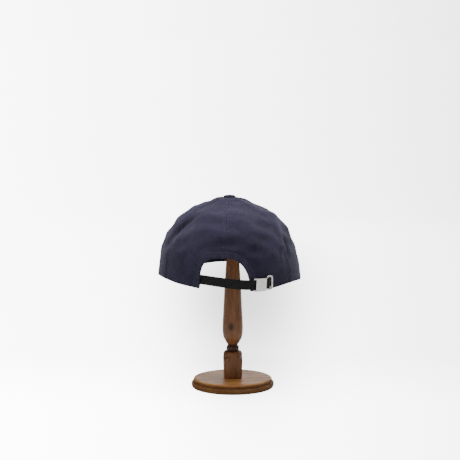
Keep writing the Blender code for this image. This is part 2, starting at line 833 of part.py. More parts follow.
def make_eyelet(group, finish, parent):
    """The slotted metal eyelet: a rounded rim on the cloth and a barrel through it."""
    wall = EYELET_BARREL_WALL
    rim = EYELET_RIM_WIDTH
    top = CLEARANCE + EYELET_RIM_HEIGHT
    shape = (
        (0.0, -PANEL_THICKNESS),
        (wall, -PANEL_THICKNESS),
        (wall, CLEARANCE),
        (rim, CLEARANCE),
        (0.95 * rim, CLEARANCE + 0.55 * EYELET_RIM_HEIGHT),
        (0.70 * rim, top),
        (0.35 * rim, top),
        (0.0, CLEARANCE + 0.5 * EYELET_RIM_HEIGHT),
    )
    loops = [(slot_outline(out), z) for out, z in shape]
    sections = [[(*loop[i], z) for loop, z in loops] for i in range(EYELET_SIDES)]
    mesh = loft("strap_eyelet", sections, closed_path=True)
    place = seat_frame(EYELET_PLACE)
    add_object("strap_eyelet", mesh, group, finish, parent, place)


def head_profile():
    """The head's dome, fitted close under the crown: radius and height from the top down."""
    angles = np.arange(0.0, 360.0, 360.0 / POST_SIDES / 2)
    angles, levels = np.meshgrid(angles, np.linspace(TOP_LEVEL / 2, TOP_LEVEL - PROBE, 60))
    points = crown_point(angles.ravel(), levels.ravel(), -PANEL_THICKNESS)
    frame = np.array(cap_frame())
    points = points @ frame[:3, :3].T + frame[:3, 3]
    radii = np.hypot(points[:, 0], points[:, 1])
    seat = np.array([HEAD_RADIUS * share for share in HEAD_SHARES])
    near = 2 * CLEARANCE + np.diff(seat).max()
    lowest = np.array([points[np.abs(radii - radius) < near, 2].min() for radius in seat])
    heights = np.minimum.accumulate(lowest) - CLEARANCE
    bottom = heights[0] - HEAD_HEIGHT
    waist = float(bottom + HEAD_WAIST_SHARE * (heights[-1] - bottom))
    dome = [(float(radius), float(height)) for radius, height in zip(seat, heights)]
    return [*dome, (HEAD_WAIST_RADIUS, waist), (HEAD_SEAT_RADIUS, float(bottom))]


def make_base(group, finish):
    profile = [(BASE_RADIUS * t.radius, BASE_THICKNESS * t.height) for t in BASE_TURNS]
    turned("stand_base", profile, group, BASE_SIDES, finish)


def make_post(group, cutters, finish, head_low):
    """The post: a tapered square block with a turned shoulder, turned above it to the head."""
    foot = BASE_THICKNESS + CLEARANCE
    shoulder = foot + BLOCK_HEIGHT
    length = head_low - CLEARANCE - shoulder
    neck = POST_RADIUS * POST_TURNS[-1].radius
    profile = [(POST_RADIUS * t.radius, shoulder + length * t.height) for t in POST_TURNS]
    profile.append((neck, shoulder - SHOULDER_DROP))
    shaft = turned("shaft", profile, cutters, POST_SIDES)

    half, foot_half = BLOCK_WIDTH / 2, BLOCK_FOOT_WIDTH / 2
    block = bmesh.new()
    bmesh.ops.create_cube(block, size=1.0)
    for vertex in block.verts:
        high = vertex.co.z > 0
        size = half if high else foot_half
        x, y = (math.copysign(size, value) for value in vertex.co[:2])
        vertex.co = (x, y, shoulder if high else foot)
    mesh = bpy.data.meshes.new("stand_post")
    block.to_mesh(mesh)
    block.free()
    post = add_object("stand_post", mesh, group, finish)
    post.rotation_euler.z = math.radians(POST_TURN)

    turns = np.linspace(0.0, math.pi / 2, SHOULDER_STEPS + 1)
    corner = math.sqrt(2.0) * half + 2 * CLEARANCE
    out = neck + (half + CLEARANCE - neck) * np.sin(turns)
    rounding = list(zip(out.tolist(), (shoulder - SHOULDER_DROP * (1 - np.cos(turns))).tolist()))
    rounding.append((corner, shoulder - 2 * SHOULDER_DROP))
    rounding.append((corner, foot - SHOULDER_DROP))
    limit = turned("shoulder_turning", rounding, cutters, 2 * POST_SIDES)
    add_boolean(post, limit, "INTERSECT")
    add_boolean(post, shaft, "UNION")
    for helper in (shaft, limit):
        helper.hide_render = True
        helper.display_type = "WIRE"


def main():
    empty_scene()
    parts = collection("cap_on_stand")
    cutters = collection("cutters")
    cotton = material("navy_cotton", NAVY, 0.85)
    lining = material("dark_cotton", DARK_NAVY, 0.9)
    webbing = material("black_strap", BLACK, 0.5)
    metal = material("brushed_metal", SILVER, 0.35, 1.0)
    wood = material("stained_wood", WALNUT, 0.45)

    cap = bpy.data.objects.new("cap_seat", None)
    parts.objects.link(cap)
    cap.matrix_basis = cap_frame()
    make_panels(parts, cutters, cotton, cap)
    make_button(parts, cotton, cap)
    make_visor(parts, cotton, cap)
    make_sweatband(parts, lining, cap)
    make_binding(parts, cotton, cap)
    make_strap(parts, webbing, cap)
    clasp_frame = seat_frame(clasp_start() + CLASP_LENGTH / 2)
    make_clasp_frame(parts, cutters, metal, cap, clasp_frame)
    make_clasp_lever(parts, cutters, metal, cap, clasp_frame)
    make_eyelet(parts, metal, cap)

    dome = head_profile()
    turned("stand_head", dome, parts, POST_SIDES, wood)
    make_post(parts, cutters, wood, dome[-1][1])
    make_base(parts, wood)


main()
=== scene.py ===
import math

import bmesh
import bpy
import numpy as np
from mathutils import Matrix, Vector


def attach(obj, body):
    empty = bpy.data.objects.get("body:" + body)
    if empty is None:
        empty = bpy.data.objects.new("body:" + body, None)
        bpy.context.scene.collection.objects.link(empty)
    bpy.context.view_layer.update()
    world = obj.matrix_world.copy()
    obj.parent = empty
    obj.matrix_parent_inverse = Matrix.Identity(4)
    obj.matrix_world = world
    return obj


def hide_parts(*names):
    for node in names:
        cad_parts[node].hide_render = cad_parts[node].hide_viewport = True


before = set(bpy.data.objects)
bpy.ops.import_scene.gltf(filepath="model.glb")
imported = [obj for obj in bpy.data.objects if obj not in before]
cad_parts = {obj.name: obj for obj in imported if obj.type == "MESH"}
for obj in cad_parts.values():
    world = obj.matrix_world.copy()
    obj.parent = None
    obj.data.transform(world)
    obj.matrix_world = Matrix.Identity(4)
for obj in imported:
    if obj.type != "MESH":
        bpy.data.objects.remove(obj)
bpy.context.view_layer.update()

# A navy six-panel cotton cap on a turned wooden stand.
# Lengths are in metres. Angles are in degrees from the wearer's right side, turning towards the visor.


# ---- camera, light and floor

view = {"eye": (-0.0035, -2.1, 0.4776), "pitch": 7.42, "lens": 129.4, "sensor": 36.0}
floor = {"half": 30.0, "colour": (0.60, 0.60, 0.60, 1.0), "roughness": 0.9}
sky = {"colour": (1.0, 1.0, 1.0, 1.0), "strength": 0.22}
# painted light: to camera rays the floor and the sky are painted brighter at the left than at the right, and the
# floor has a painted shadow behind the post
# how bright floor and sky are seen, by camera rays only: at the left, at the right, and in the soft shade behind
# the post. The floor's pattern is fixed in the room and fans out from a point this far in front of the stand, which
# is where the photograph's camera stands: it fits that view, and in the others it shows as a grey pool
backdrop = {"left": 8.4, "right": 3.9, "fan": 2.1, "side": 0.14, "shade": 1.9, "middle": (0.006, 0.7),
            "spread": (0.034, 0.6), "front": (-0.1, 0.2, 1.4)}
# name: where it hangs, what it points at, its size across and its power in watts
lamps = {
    "overhead": ((-0.1, -0.1, 1.7), (0.0, 0.0, 0.15), 1.3, 46.0),
    "frontLeft": ((-1.3, -1.7, 1.1), (0.0, 0.0, 0.15), 1.2, 6.0),
    "backRight": ((1.4, 1.2, 1.2), (0.0, 0.0, 0.2), 1.2, 10.0),
    "backLow": ((0.1, 1.6, 0.62), (0.0, 0.0, 0.02), 0.9, 6.0),
}


def lookFrom(eye, target):
    # a turn that points the local -Z axis from the eye to the target
    return (Vector(target) - Vector(eye)).to_track_quat("-Z", "Y").to_euler()


def addCamera():
    lens = bpy.data.cameras.new("photoCamera")
    lens.lens, lens.sensor_width = view["lens"], view["sensor"]
    eye = bpy.data.objects.new("photoCamera", lens)
    eye.location = view["eye"]
    eye.rotation_euler = (math.radians(90.0 - view["pitch"]), 0.0, 0.0)
    bpy.context.scene.collection.objects.link(eye)
    bpy.context.scene.camera = eye


def seenOrLit(tree, source, behind, lit, socket):
    # lit is the light that the backdrop gives. Seen, it falls from left to right with x / (y + behind) and is
    # dimmed by exp(-shade exp(-across^2 - forward^2)), both counted in spreads from the shade's middle
    spot = placed(tree, source)
    x, y = (addNode(tree, "SeparateXYZ", {0: spot}, axis) for axis in "XY")
    side = x / (y + behind).math("MAXIMUM", 0.01)
    seen = side.ramp(-backdrop["side"], backdrop["side"], backdrop["left"], backdrop["right"])
    # the floor's painted shadow behind the post, and painted light brighter towards the front
    if behind:
        across, forward = ((value - middle) / spread for value, middle, spread in
                           zip((side, y), backdrop["middle"], backdrop["spread"]))
        bell = ((across * across + forward * forward) * -1.0).math("EXPONENT")
        near, far, gain = backdrop["front"]
        seen = seen * y.ramp(near, far, gain, 1.0) * (bell * -backdrop["shade"]).math("EXPONENT")
    feed(socket, addNode(tree, "LightPath", output="Is Camera Ray").ramp(0.0, 1.0, lit, seen))


def addLamps():
    for name, (place, target, across, power) in lamps.items():
        light = bpy.data.lights.new(name, "AREA")
        light.shape, light.size, light.energy = "DISK", across, power
        lamp = bpy.data.objects.new(name, light)
        lamp.location, lamp.rotation_euler = place, lookFrom(place, target)
        bpy.context.scene.collection.objects.link(lamp)
    world = bpy.data.worlds.new("paleStudio")
    world.use_nodes = True
    background = world.node_tree.nodes["Background"]
    background.inputs["Color"].default_value = sky["colour"]
    seenOrLit(world.node_tree, "Generated", 0.0, sky["strength"], background.inputs["Strength"])
    bpy.context.scene.world = world


# ---- materials

class Signal:
    # an output of a shader node; its sums, products and ramps are new nodes

    def __init__(self, socket):
        self.socket, self.tree = socket, socket.id_data

    def math(self, operation, other=0.0, clamp=False):
        return addNode(self.tree, "Math", {0: self, 1: other}, operation=operation, use_clamp=clamp)

    def __add__(self, other):
        return self.math("ADD", other)

    def __sub__(self, other):
        return self.math("SUBTRACT", other)

    def __mul__(self, other):
        return self.math("MULTIPLY", other)

    def __truediv__(self, other):
        return self.math("DIVIDE", other)

    def ramp(self, low, high, start=0.0, end=1.0):
        # carries a value between low and high to one between start and end
        return addNode(self.tree, "MapRange", {0: self, 1: low, 2: high, 3: start, 4: end})


def feed(socket, value):
    # sets an input to a plain value, or links it to a signal
    if isinstance(value, Signal):
        value.tree.links.new(value.socket, socket)
    else:
        socket.default_value = value


def addNode(tree, kind, inputs=None, output=0, **settings):
    node = tree.nodes.new("ShaderNode" + kind)
    for name, value in settings.items():
        setattr(node, name, value)
    for name, value in (inputs or {}).items():
        feed(node.inputs[name], value)
    return Signal(node.outputs[output])


def newMaterial(name, inputs):
    made = bpy.data.materials.new(name)
    made.use_nodes = True
    shader = made.node_tree.nodes["Principled BSDF"]
    for socket, value in inputs.items():
        feed(shader.inputs[socket], value)
    return made, made.node_tree, shader


def dress(made, shader, colour, height, strength, distance):
    feed(shader.inputs["Base Color"], colour)
    bump = addNode(made.node_tree, "Bump", {"Strength": strength, "Distance": distance, "Height": height})
    feed(shader.inputs["Normal"], bump)
    return made


def mixColours(factor, first, second, **settings):
    return addNode(factor.tree, "Mix", {0: factor, 6: first, 7: second}, 2, data_type="RGBA", **settings)


def placed(tree, source, scale=(1.0, 1.0, 1.0), turn=0.0, move=(0.0, 0.0, 0.0)):
    # a Mapping node on one of the object's own coordinates
    spot = addNode(tree, "TexCoord", output=source)
    return addNode(tree, "Mapping", {"Vector": spot, "Scale": scale, "Rotation": (0.0, 0.0, math.radians(turn)),
                                     "Location": move})


def noise(source, scale, detail, rough, output="Fac"):
    return addNode(source.tree, "TexNoise",
                   {"Vector": source, "Scale": scale, "Detail": detail, "Roughness": rough}, output)


def wave(source, pitch, inputs=None, **settings):
    # bands at a pitch in the units of the source
    return addNode(source.tree, "TexWave", {"Vector": source, "Scale": math.pi / 10 / pitch, **(inputs or {})},
                   "Fac", **settings)


cloth = {
    # dark, light and worn colour, roughness and sheen; worn is also the painted highlight on fold ridges
    "cotton": ((0.0102, 0.0084, 0.0207, 1.0), (0.0316, 0.0272, 0.057, 1.0), (0.06, 0.058, 0.092, 1.0), 0.86, 0.16),
    "lining": ((0.006, 0.007, 0.013, 1.0), (0.016, 0.018, 0.03, 1.0), (0.03, 0.03, 0.05, 1.0), 0.9, 0.2),
    "thread": ((0.015, 0.015, 0.030, 1.0), (0.033, 0.033, 0.060, 1.0), (0.05, 0.05, 0.08, 1.0), 0.6, 0.2),
    # painted shade for the folds' hollows
    "hollowShade": (0.0060, 0.0052, 0.0125, 1.0),
    "ridge": 0.07, "weft": 0.045,  # pitch in centimetres, as the UV maps are
    "turn": 58.0, "weftTurn": 64.0, "depth": 0.00011, "tint": (0.62, 0.60, 0.80, 1.0),
}


def twill(name, dark, light, worn, roughness, sheen):
    # diagonal ribs cut by weft threads and fuzz over them; the attribute fades worn edges, paints fold shade and
    # highlight
    made, tree, shader = newMaterial(name, {
        "Base Color": dark, "Roughness": roughness, "Sheen Weight": sheen, "Sheen Roughness": 0.45,
        "Sheen Tint": cloth["tint"], "Specular IOR Level": 0.18})
    rib = wave(placed(tree, "UV", turn=cloth["turn"]), cloth["ridge"],
               {"Distortion": 0.6, "Detail": 1.0, "Detail Scale": 2.0})
    weft = wave(placed(tree, "UV", turn=cloth["turn"] + cloth["weftTurn"]), cloth["weft"])
    fuzz, patch, blotch = (noise(placed(tree, "Object"), *size) for size in
                           ((1400.0, 2.0, 0.6), (26.0, 4.0, 0.55), (170.0, 3.0, 0.6)))
    weave = rib * 0.62 + weft * 0.38
    tone = patch.ramp(0.3, 0.7, 0.0, 0.45) + blotch.ramp(0.3, 0.7, 0.0, 0.25)
    base = mixColours(tone.math("ADD", weave * 0.42, True), dark, light)
    edge = addNode(tree, "Attribute", output="Fac", attribute_name="wearAndShade")
    # painted shade: below nothing, in the folds' hollows, the attribute darkens towards the hollow colour
    base = mixColours(edge.ramp(0.0, -1.0), base, cloth["hollowShade"])
    # worn edges, and a painted highlight on the folds' ridges: above nothing it fades towards the worn colour
    fade = edge.math("MULTIPLY", blotch.ramp(0.2, 0.7), True)
    return dress(made, shader, mixColours(fade, base, worn), weave + fuzz * 0.5, 0.6, cloth["depth"])


webbing = {"dark": (0.0026, 0.0025, 0.0029, 1.0), "streak": (0.040, 0.040, 0.043, 1.0), "ribs": 0.115,
           "threads": 0.06}


def strapWeave(name):
    # lengthwise ribs along the strap, with grey streaks where the threads have worn
    made, tree, shader = newMaterial(name, {
        "Base Color": webbing["dark"], "Roughness": 0.6, "Sheen Weight": 0.04, "Sheen Roughness": 0.4,
        "Specular IOR Level": 0.22})
    rib = wave(placed(tree, "UV"), webbing["ribs"], bands_direction="Y")
    cross = wave(placed(tree, "UV"), webbing["threads"], bands_direction="X")
    streak = noise(placed(tree, "UV", scale=(0.55, 9.0, 1.0)), 2.1, 4.0, 0.6)
    spots = noise(placed(tree, "UV", scale=(1.0, 3.0, 1.0)), 9.0, 2.0, 0.5)
    strength = streak.ramp(0.48, 0.72) * spots.ramp(0.3, 0.62, 0.35, 1.0) * rib.ramp(0.0, 1.0, 0.35, 1.0)
    colour = mixColours(strength, webbing["dark"], webbing["streak"])
    return dress(made, shader, colour, rib + cross * 0.35, 0.7, 0.00012)


silver = {"colour": (0.97, 0.95, 0.91, 1.0), "dull": (0.80, 0.78, 0.74, 1.0), "roughness": 0.34,
          "metallic": 0.82}


def brushedMetal(name):
    # fine scratches along the piece over a bright metal, a little duller in patches
    made, tree, shader = newMaterial(name, {
        "Base Color": silver["colour"], "Roughness": silver["roughness"], "Metallic": silver["metallic"]})
    scratch = noise(placed(tree, "UV", scale=(60.0, 3.0, 1.0)), 4.0, 5.0, 0.7)
    patch = noise(placed(tree, "Object"), 240.0, 3.0, 0.6)
    feed(shader.inputs["Roughness"], scratch.ramp(0.3, 0.7, 0.22, 0.42))
    colour = mixColours(patch.ramp(0.35, 0.75), silver["colour"], silver["dull"])
    return dress(made, shader, colour, scratch, 0.25, 0.00003)


wood = {
    "dark": (0.085, 0.028, 0.009, 1.0), "mid": (0.170, 0.062, 0.020, 1.0), "light": (0.330, 0.142, 0.052, 1.0),
    "tan": (0.46, 0.17, 0.050, 1.0), "honey": (0.70, 0.30, 0.090, 1.0), "pale": (0.82, 0.42, 0.15, 1.0),
    # painted shade on the neck and the base's rim: height of the middle, half width, where it ends and shade
    "neck": (0.0515, 0.0042, 0.00567, (0.30, 0.27, 0.27, 1.0)),
    "rim": (0.0, 0.0104, 0.0113, (0.36, 0.36, 0.42, 1.0)),
    "knot": (0.024, 0.010, 0.005, 1.0), "knotPlace": (-0.0022, -0.0125, 0.0802),
    "knotScale": (215.0, 60.0, 150.0), "roughness": 0.36, "wander": 0.012,
}


def grainedWood(name, stretch, shades, gloss, shadeBand, knot=None):
    # stretched noise for the grain, finer pores over it, a soft varnish, and a knot where one is given
    dark, mid, light = (wood[shade] for shade in shades)
    made, tree, shader = newMaterial(name, {
        "Base Color": mid, "Roughness": wood["roughness"], "Coat Weight": gloss, "Coat Roughness": 0.22,
        "Specular IOR Level": 0.05 + gloss})
    wander = noise(placed(tree, "Object"), 18.0, 2.0, 0.5, "Color")
    shifted = addNode(tree, "VectorMath", {0: wander, 1: (wood["wander"],) * 3, 2: placed(tree, "Object")},
                      operation="MULTIPLY_ADD")
    lengthened = addNode(tree, "Mapping", {"Scale": stretch, "Vector": shifted})
    grain, fine, broad = (noise(lengthened, *size) for size in
                          ((150.0, 6.0, 0.62), (620.0, 4.0, 0.65), (42.0, 3.0, 0.5)))
    tone = mixColours(broad.ramp(0.32, 0.68), mid, light)
    tone = mixColours(grain.ramp(0.44, 0.66, 0.0, 0.6), tone, dark)
    tone = mixColours(fine.ramp(0.52, 0.74, 0.0, 0.4), tone, dark)
    if knot:
        away = placed(tree, "Object", wood["knotScale"],
                      move=[-size * off for size, off in zip(wood["knotScale"], knot)])
        far = addNode(tree, "VectorMath", {0: away}, "Value", operation="LENGTH")
        tone = mixColours((far + grain * 0.9).ramp(0.75, 1.5, 0.85, 0.0), tone, wood["knot"])
    # painted shade: the tone is darkened in a band by height, round the neck's groove and on the base's rim below
    # its lit top
    middle, inside, outside, shade = shadeBand
    height = addNode(tree, "SeparateXYZ", {0: placed(tree, "Object")}, "Z")
    near = (height - middle).math("ABSOLUTE").ramp(inside, outside, 1.0, 0.0)
    feed(shader.inputs["Roughness"], grain.ramp(0.3, 0.7, 0.32, 0.5))
    return dress(made, shader, mixColours(near, tone, shade, blend_type="MULTIPLY"), fine, 0.35, 0.0001)


# ---- meshes

def gridQuads(rows, columns, around=False, along=False):
    # each cell joins its four corners; around joins the last column to the first, along the last row
    low, left = np.meshgrid(np.arange(rows if along else rows - 1),
                            np.arange(columns if around else columns - 1), indexing="ij")
    low, left = low.ravel() * columns, left.ravel()
    high, right = (low + columns) % (rows * columns), (left + 1) % columns
    return np.stack([low + left, low + right, high + right, high + left], -1)


def shellFaces(rows, columns):
    # a sheet of two matching grids, the second reversed, closed by a strip round their edges
    size = rows * columns
    index = np.arange(size).reshape(rows, columns)
    edge = np.concatenate([index[0], index[1:, -1], index[-1, -2::-1], index[-2:0:-1, 0]])
    after = np.roll(edge, -1)
    quads = gridQuads(rows, columns)
    strip = np.stack([edge, edge + size, after + size, after], -1)
    return np.concatenate([quads, quads[:, ::-1] + size, strip]).tolist()


def tubeFaces(rows, columns):
    # a profile carried along a path, closed round the profile and capped at both ends
    last = (rows - 1) * columns
    caps = [list(range(columns)), list(range(last, last + columns))]
    return gridQuads(rows, columns, around=True).tolist() + caps


def turnedFaces(rows, columns):
    # rings from the top down, with a pole at each end; the poles are the last two points
    around = np.arange(columns)
    after = (around + 1) % columns
    last = (rows - 1) * columns
    top = np.stack([around, after, np.full(columns, rows * columns)], -1)
    low = np.stack([around + last, after + last, np.full(columns, rows * columns + 1)], -1)
    return gridQuads(rows, columns, around=True).tolist() + top.tolist() + low.tolist()


def roundCorners(corners, radius, steps=5):
    # every corner becomes a curve between two points on its sides: (1-t)^2 A + 2t(1-t) C + t^2 B
    corners = np.asarray(corners, float)
    radius = np.broadcast_to(radius, len(corners))[:, None]
    before, after = np.roll(corners, 1, 0) - corners, np.roll(corners, -1, 0) - corners
    start = corners + before / np.linalg.norm(before, axis=1)[:, None] * radius
    end = corners + after / np.linalg.norm(after, axis=1)[:, None] * radius
    share = np.linspace(0.0, 1.0, steps)[None, :, None]
    curve = (1 - share) ** 2 * start[:, None] + 2 * share * (1 - share) * corners[:, None]
    return (curve + share ** 2 * end[:, None]).reshape(-1, 2)


def unit(vectors):
    return vectors / np.linalg.norm(vectors, axis=-1, keepdims=True)


def matched(*values):
    return np.broadcast_arrays(*(np.asarray(value, float) for value in values))


def stacked(*values):
    # matching arrays as the last axis of one
    return np.stack(matched(*values), -1)


def fullTurn(count):
    return np.linspace(0.0, 2 * math.pi, count, endpoint=False)


def lengthsAlong(points):
    # the run of a line of points up to each of them
    return np.concatenate([[0.0], np.cumsum(np.linalg.norm(np.diff(points, axis=0), axis=1))])


def carried(line, across, over, upward, rise):
    # a profile at each point of a line: the point plus over times across plus rise times upward
    return line[:, None] + across[:, None] * over[..., None] + upward[:, None] * rise[..., None]


def makeMesh(name, points, faces, uv=None, wearAndShade=None):
    mesh = bpy.data.meshes.new(name)
    mesh.from_pydata(np.asarray(points, float).reshape(-1, 3).tolist(), [], faces)
    solid = bmesh.new()
    solid.from_mesh(mesh)
    bmesh.ops.recalc_face_normals(solid, faces=solid.faces)
    solid.to_mesh(mesh)
    solid.free()
    corner = np.empty(len(mesh.loops), np.int32)
    mesh.loops.foreach_get("vertex_index", corner)
    if uv is not None:
        flat = np.asarray(uv, np.float32).reshape(-1, 2)[corner].ravel()
        mesh.uv_layers.new(name="cloth").data.foreach_set("uv", flat)
    if wearAndShade is not None:
        faded = np.asarray(wearAndShade, np.float32).ravel()
        mesh.attributes.new("wearAndShade", "FLOAT", "POINT").data.foreach_set("value", faded)
    mesh.shade_smooth()
    return mesh


def addPiece(name, points, faces, finish, uv=None, wearAndShade=None, body="cap_on_stand", stands=()):
    mesh = makeMesh(name, points, faces, uv, wearAndShade)
    made = bpy.data.objects.new(name, mesh)
    bpy.context.scene.collection.objects.link(made)
    mesh.materials.append(finish)
    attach(made, body)
    if stands:
        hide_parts(*stands)
    return made


def addTube(name, points, finish, uv, stands, wearAndShade=None):
    # rows of one closed profile, capped at both ends
    addPiece(name, onStand(points), tubeFaces(*points.shape[:2]), finish, 100.0 * uv, wearAndShade, stands=stands)


def joined(parts):
    # several (points, faces) islands as one
    points, faces, start = [], [], 0
    for some, its in parts:
        some = np.asarray(some, float).reshape(-1, 3)
        points.append(some)
        faces += [[corner + start for corner in face] for face in its]
        start += len(some)
    return np.concatenate(points), faces


# ---- the crown's form, as the CAD has it

crown = {
    "width": 0.184, "backReach": 0.098, "frontReach": 0.099, "height": 0.104, "puff": 0.0012,
    "thickness": 0.0014, "topHole": 0.003, "rimTilt": 0.03, "clearance": 0.0003,
    "place": (-0.0041, 0.0, 0.143), "yaw": -2.9, "back": -90.0, "panelAngle": 60.0, "probe": 0.05,
}
# height, then left, right, back and front: shares of the crown's height and of its reach each way
rings = np.array([
    (0.0, 0.998, 0.995, 0.97, 1.0), (0.097, 0.982, 0.979, 0.988, 1.0), (0.194, 0.966, 0.962, 1.0, 1.0),
    (0.35, 0.938, 0.915, 0.985, 0.985), (0.486, 0.88, 0.864, 0.945, 0.955), (0.592, 0.817, 0.803, 0.885, 0.905),
    (0.68, 0.753, 0.725, 0.82, 0.845), (0.772, 0.662, 0.637, 0.722, 0.755), (0.835, 0.561, 0.535, 0.63, 0.67),
    (0.874, 0.494, 0.404, 0.51, 0.544), (0.91, 0.382, 0.308, 0.35, 0.377), (0.94, 0.28, 0.248, 0.269, 0.29),
    (0.965, 0.225, 0.187, 0.209, 0.226), (0.985, 0.177, 0.123, 0.151, 0.162),
    (0.997, 0.066, 0.083, 0.075, 0.081), (1.0, 0.0, 0.0, 0.0, 0.0),
])
# angle, height, length, width, depth and turn of each dent; a depth below nothing is a ridge
dents = np.array([
    (-146.0, 0.66, 0.21, 0.065, 0.034, 60.0), (-138.5, 0.54, 0.25, 0.065, -0.018, 50.0),
    (-89.0, 0.525, 0.17, 0.065, 0.02, 0.0), (-6.0, 0.775, 0.11, 0.065, -0.012, 0.0),
    (-25.0, 0.44, 0.14, 0.045, 0.018, 74.0), (-33.5, 0.41, 0.17, 0.045, -0.012, 72.0),
    (100.0, 0.62, 0.2, 0.12, 0.012, 10.0),
])
# angle from the middle of the back and the rim's lift there as a share of the crown's height
rimSteps = np.array([
    (-180.0, 0.01), (-90.0, 0.014), (-72.0, 0.034), (-56.0, 0.029), (-40.0, 0.008), (-22.0, -0.008),
    (0.0, -0.014), (22.0, -0.018), (40.0, 0.006), (54.0, 0.033), (70.0, 0.04), (90.0, 0.018), (180.0, 0.01),
])
visor = {
    "length": 0.070, "thickness": 0.0032, "spread": 65.0, "tipWidth": 0.003, "rise": 0.0058, "slope": 0.105,
    "bowRadius": 0.200, "squareness": 2.3, "joinStart": 95.0, "edge": 0.0022, "across": 190, "out": 56,
    "rowGap": 0.0085, "rows": 7, "groove": 0.00022, "grooveWidth": 0.0007, "tuck": 0.0007,
    "worn": 0.6, "wornWidth": 0.0016,
}
topLevel = len(rings) - 1.0


def smoothStep(share):
    # 6s^5 - 15s^4 + 10s^3 between nothing and one
    share = np.clip(share, 0.0, 1.0)
    return share ** 3 * (share * (6.0 * share - 15.0) + 10.0)


def rowValue(values, level):
    # a cubic between each two rows, whose slope at a row is half the difference of its neighbours
    level = np.clip(np.asarray(level, float), 0.0, len(values) - 1.0)
    first = np.minimum(level.astype(int), len(values) - 2)
    share = level - first
    slopes = np.gradient(values)
    rise = (values[first + 1] - values[first]) * share * share * (3.0 - 2.0 * share)
    ends = slopes[first] * share * (1.0 - share) ** 2 - slopes[first + 1] * share * share * (1.0 - share)
    return values[first] + rise + ends


def crownPlan(angle, level):
    # four quarter ovals: reach times cosine across, reach times sine forward
    across, forward = np.cos(np.radians(angle)), np.sin(np.radians(angle))
    left, right, back, front = (rowValue(rings[:, column], level) for column in (1, 2, 3, 4))
    x = crown["width"] / 2 * np.where(across < 0, left, right) * across
    return x, np.where(forward < 0, crown["backReach"] * back, crown["frontReach"] * front) * forward


def visorUnderside(x, y):
    # rise less slope times the way forward, less x squared over twice the bow's radius, less the tilt
    forward = y - crown["frontReach"]
    return visor["rise"] - visor["slope"] * forward - x * x / (2 * visor["bowRadius"]) - crown["rimTilt"] * x


def fromBack(angle):
    return (np.asarray(angle, float) - crown["back"] + 180.0) % 360.0 - 180.0


def rimHeight(angle):
    # the waved rim at the back blends by a smooth step into the visor's bow in front
    away = fromBack(angle)
    x, y = crownPlan(angle, 0.0)
    wave = rowValue(rimSteps[:, 1], np.interp(away, rimSteps[:, 0], np.arange(len(rimSteps))))
    front = smoothStep((np.abs(away) - visor["joinStart"]) / (180.0 - visor["spread"] - visor["joinStart"]))
    return (crown["height"] * wave - crown["rimTilt"] * x) * (1.0 - front) + visorUnderside(x, y) * front


def smoothCrown(angle, level):
    # the plan at that level, lifted from the rim by a share of what is left up to the top
    angle, level = matched(angle, level)
    x, y = crownPlan(angle, level)
    rim = rimHeight(angle)
    return np.stack([x, y, rim + (crown["height"] - rim) * rowValue(rings[:, 0], level)], -1)


def wallDirections(angle, level):
    # small steps round and up the wall; their cross product points out
    level = np.minimum(level, topLevel - crown["probe"])
    across = smoothCrown(angle + crown["probe"], level) - smoothCrown(angle - crown["probe"], level)
    upward = smoothCrown(angle, level + crown["probe"]) - smoothCrown(angle, level - crown["probe"])
    across, outward = unit(across), unit(np.cross(across, upward))
    return across, np.cross(outward, across), outward


levelTable = np.linspace(0.0, topLevel, 400)
heightTable = crown["height"] * rowValue(rings[:, 0], levelTable)


def levelAt(height):
    return np.interp(height, heightTable, levelTable)


def foldRelief(point, folds):
    # each fold is a bell: depth times exp(-(along/length)^2 - (over/width)^2), summed over the table
    angle, height, length, width, depth, turn = folds.T
    level = levelAt(height * crown["height"])
    sideways, upward, outward = wallDirections(angle, level)
    cosine, sine = np.cos(np.radians(turn))[:, None], np.sin(np.radians(turn))[:, None]
    along, over = sideways * cosine + upward * sine, upward * cosine - sideways * sine
    off = (point[..., None, :] - smoothCrown(angle, level)) / crown["height"]
    spread = ((off * along).sum(-1) / length) ** 2 + ((off * outward).sum(-1) / length) ** 2
    return -(crown["height"] * depth * np.exp(-spread - ((off * over).sum(-1) / width) ** 2)).sum(-1)


def crownRelief(angle, level):
    # each panel puffs between its seams as sine squared, less the dents
    height = rowValue(rings[:, 0], level)
    seams = math.pi * fromBack(angle) / crown["panelAngle"]
    puff = crown["puff"] * np.sin(seams) ** 2 * np.sin(math.pi * height)
    return puff + foldRelief(smoothCrown(angle, level), dents)


def crownPoint(angle, level, outward=0.0):
    angle, level = matched(angle, level)
    off = np.asarray(outward + crownRelief(angle, level))[..., None]
    return smoothCrown(angle, level) + wallDirections(angle, level)[2] * off


ringAngles = np.linspace(-180.0, 180.0, 1601) + crown["back"]


def ringTable():
    # length round the wall from the middle of the back, at the strap's height
    lengths = lengthsAlong(smoothCrown(ringAngles, levelAt(strap["height"]))[:, :2])
    return lengths - lengths[len(ringAngles) // 2]


def wallAt(distance, height):
    # the angle and level of a distance round the crown and a height over its rim
    return np.interp(distance, ringLengths, ringAngles), levelAt(height)


def nearRim(distance, height, outward=0.0):
    # a point at a distance round the crown and a height over its rim
    distance, height = matched(distance, height)
    point = crownPoint(*wallAt(distance, height), outward)
    point[..., 2] += np.minimum(height, 0.0)
    return point


capTurn = np.array(Matrix.Rotation(math.radians(crown["yaw"]), 3, "Z"))


def onStand(points):
    # from the cap's own frame to the stand's: a turn about Z, then a shift
    return np.asarray(points, float) @ capTurn.T + np.array(crown["place"])


# ---- cloth detail over that form

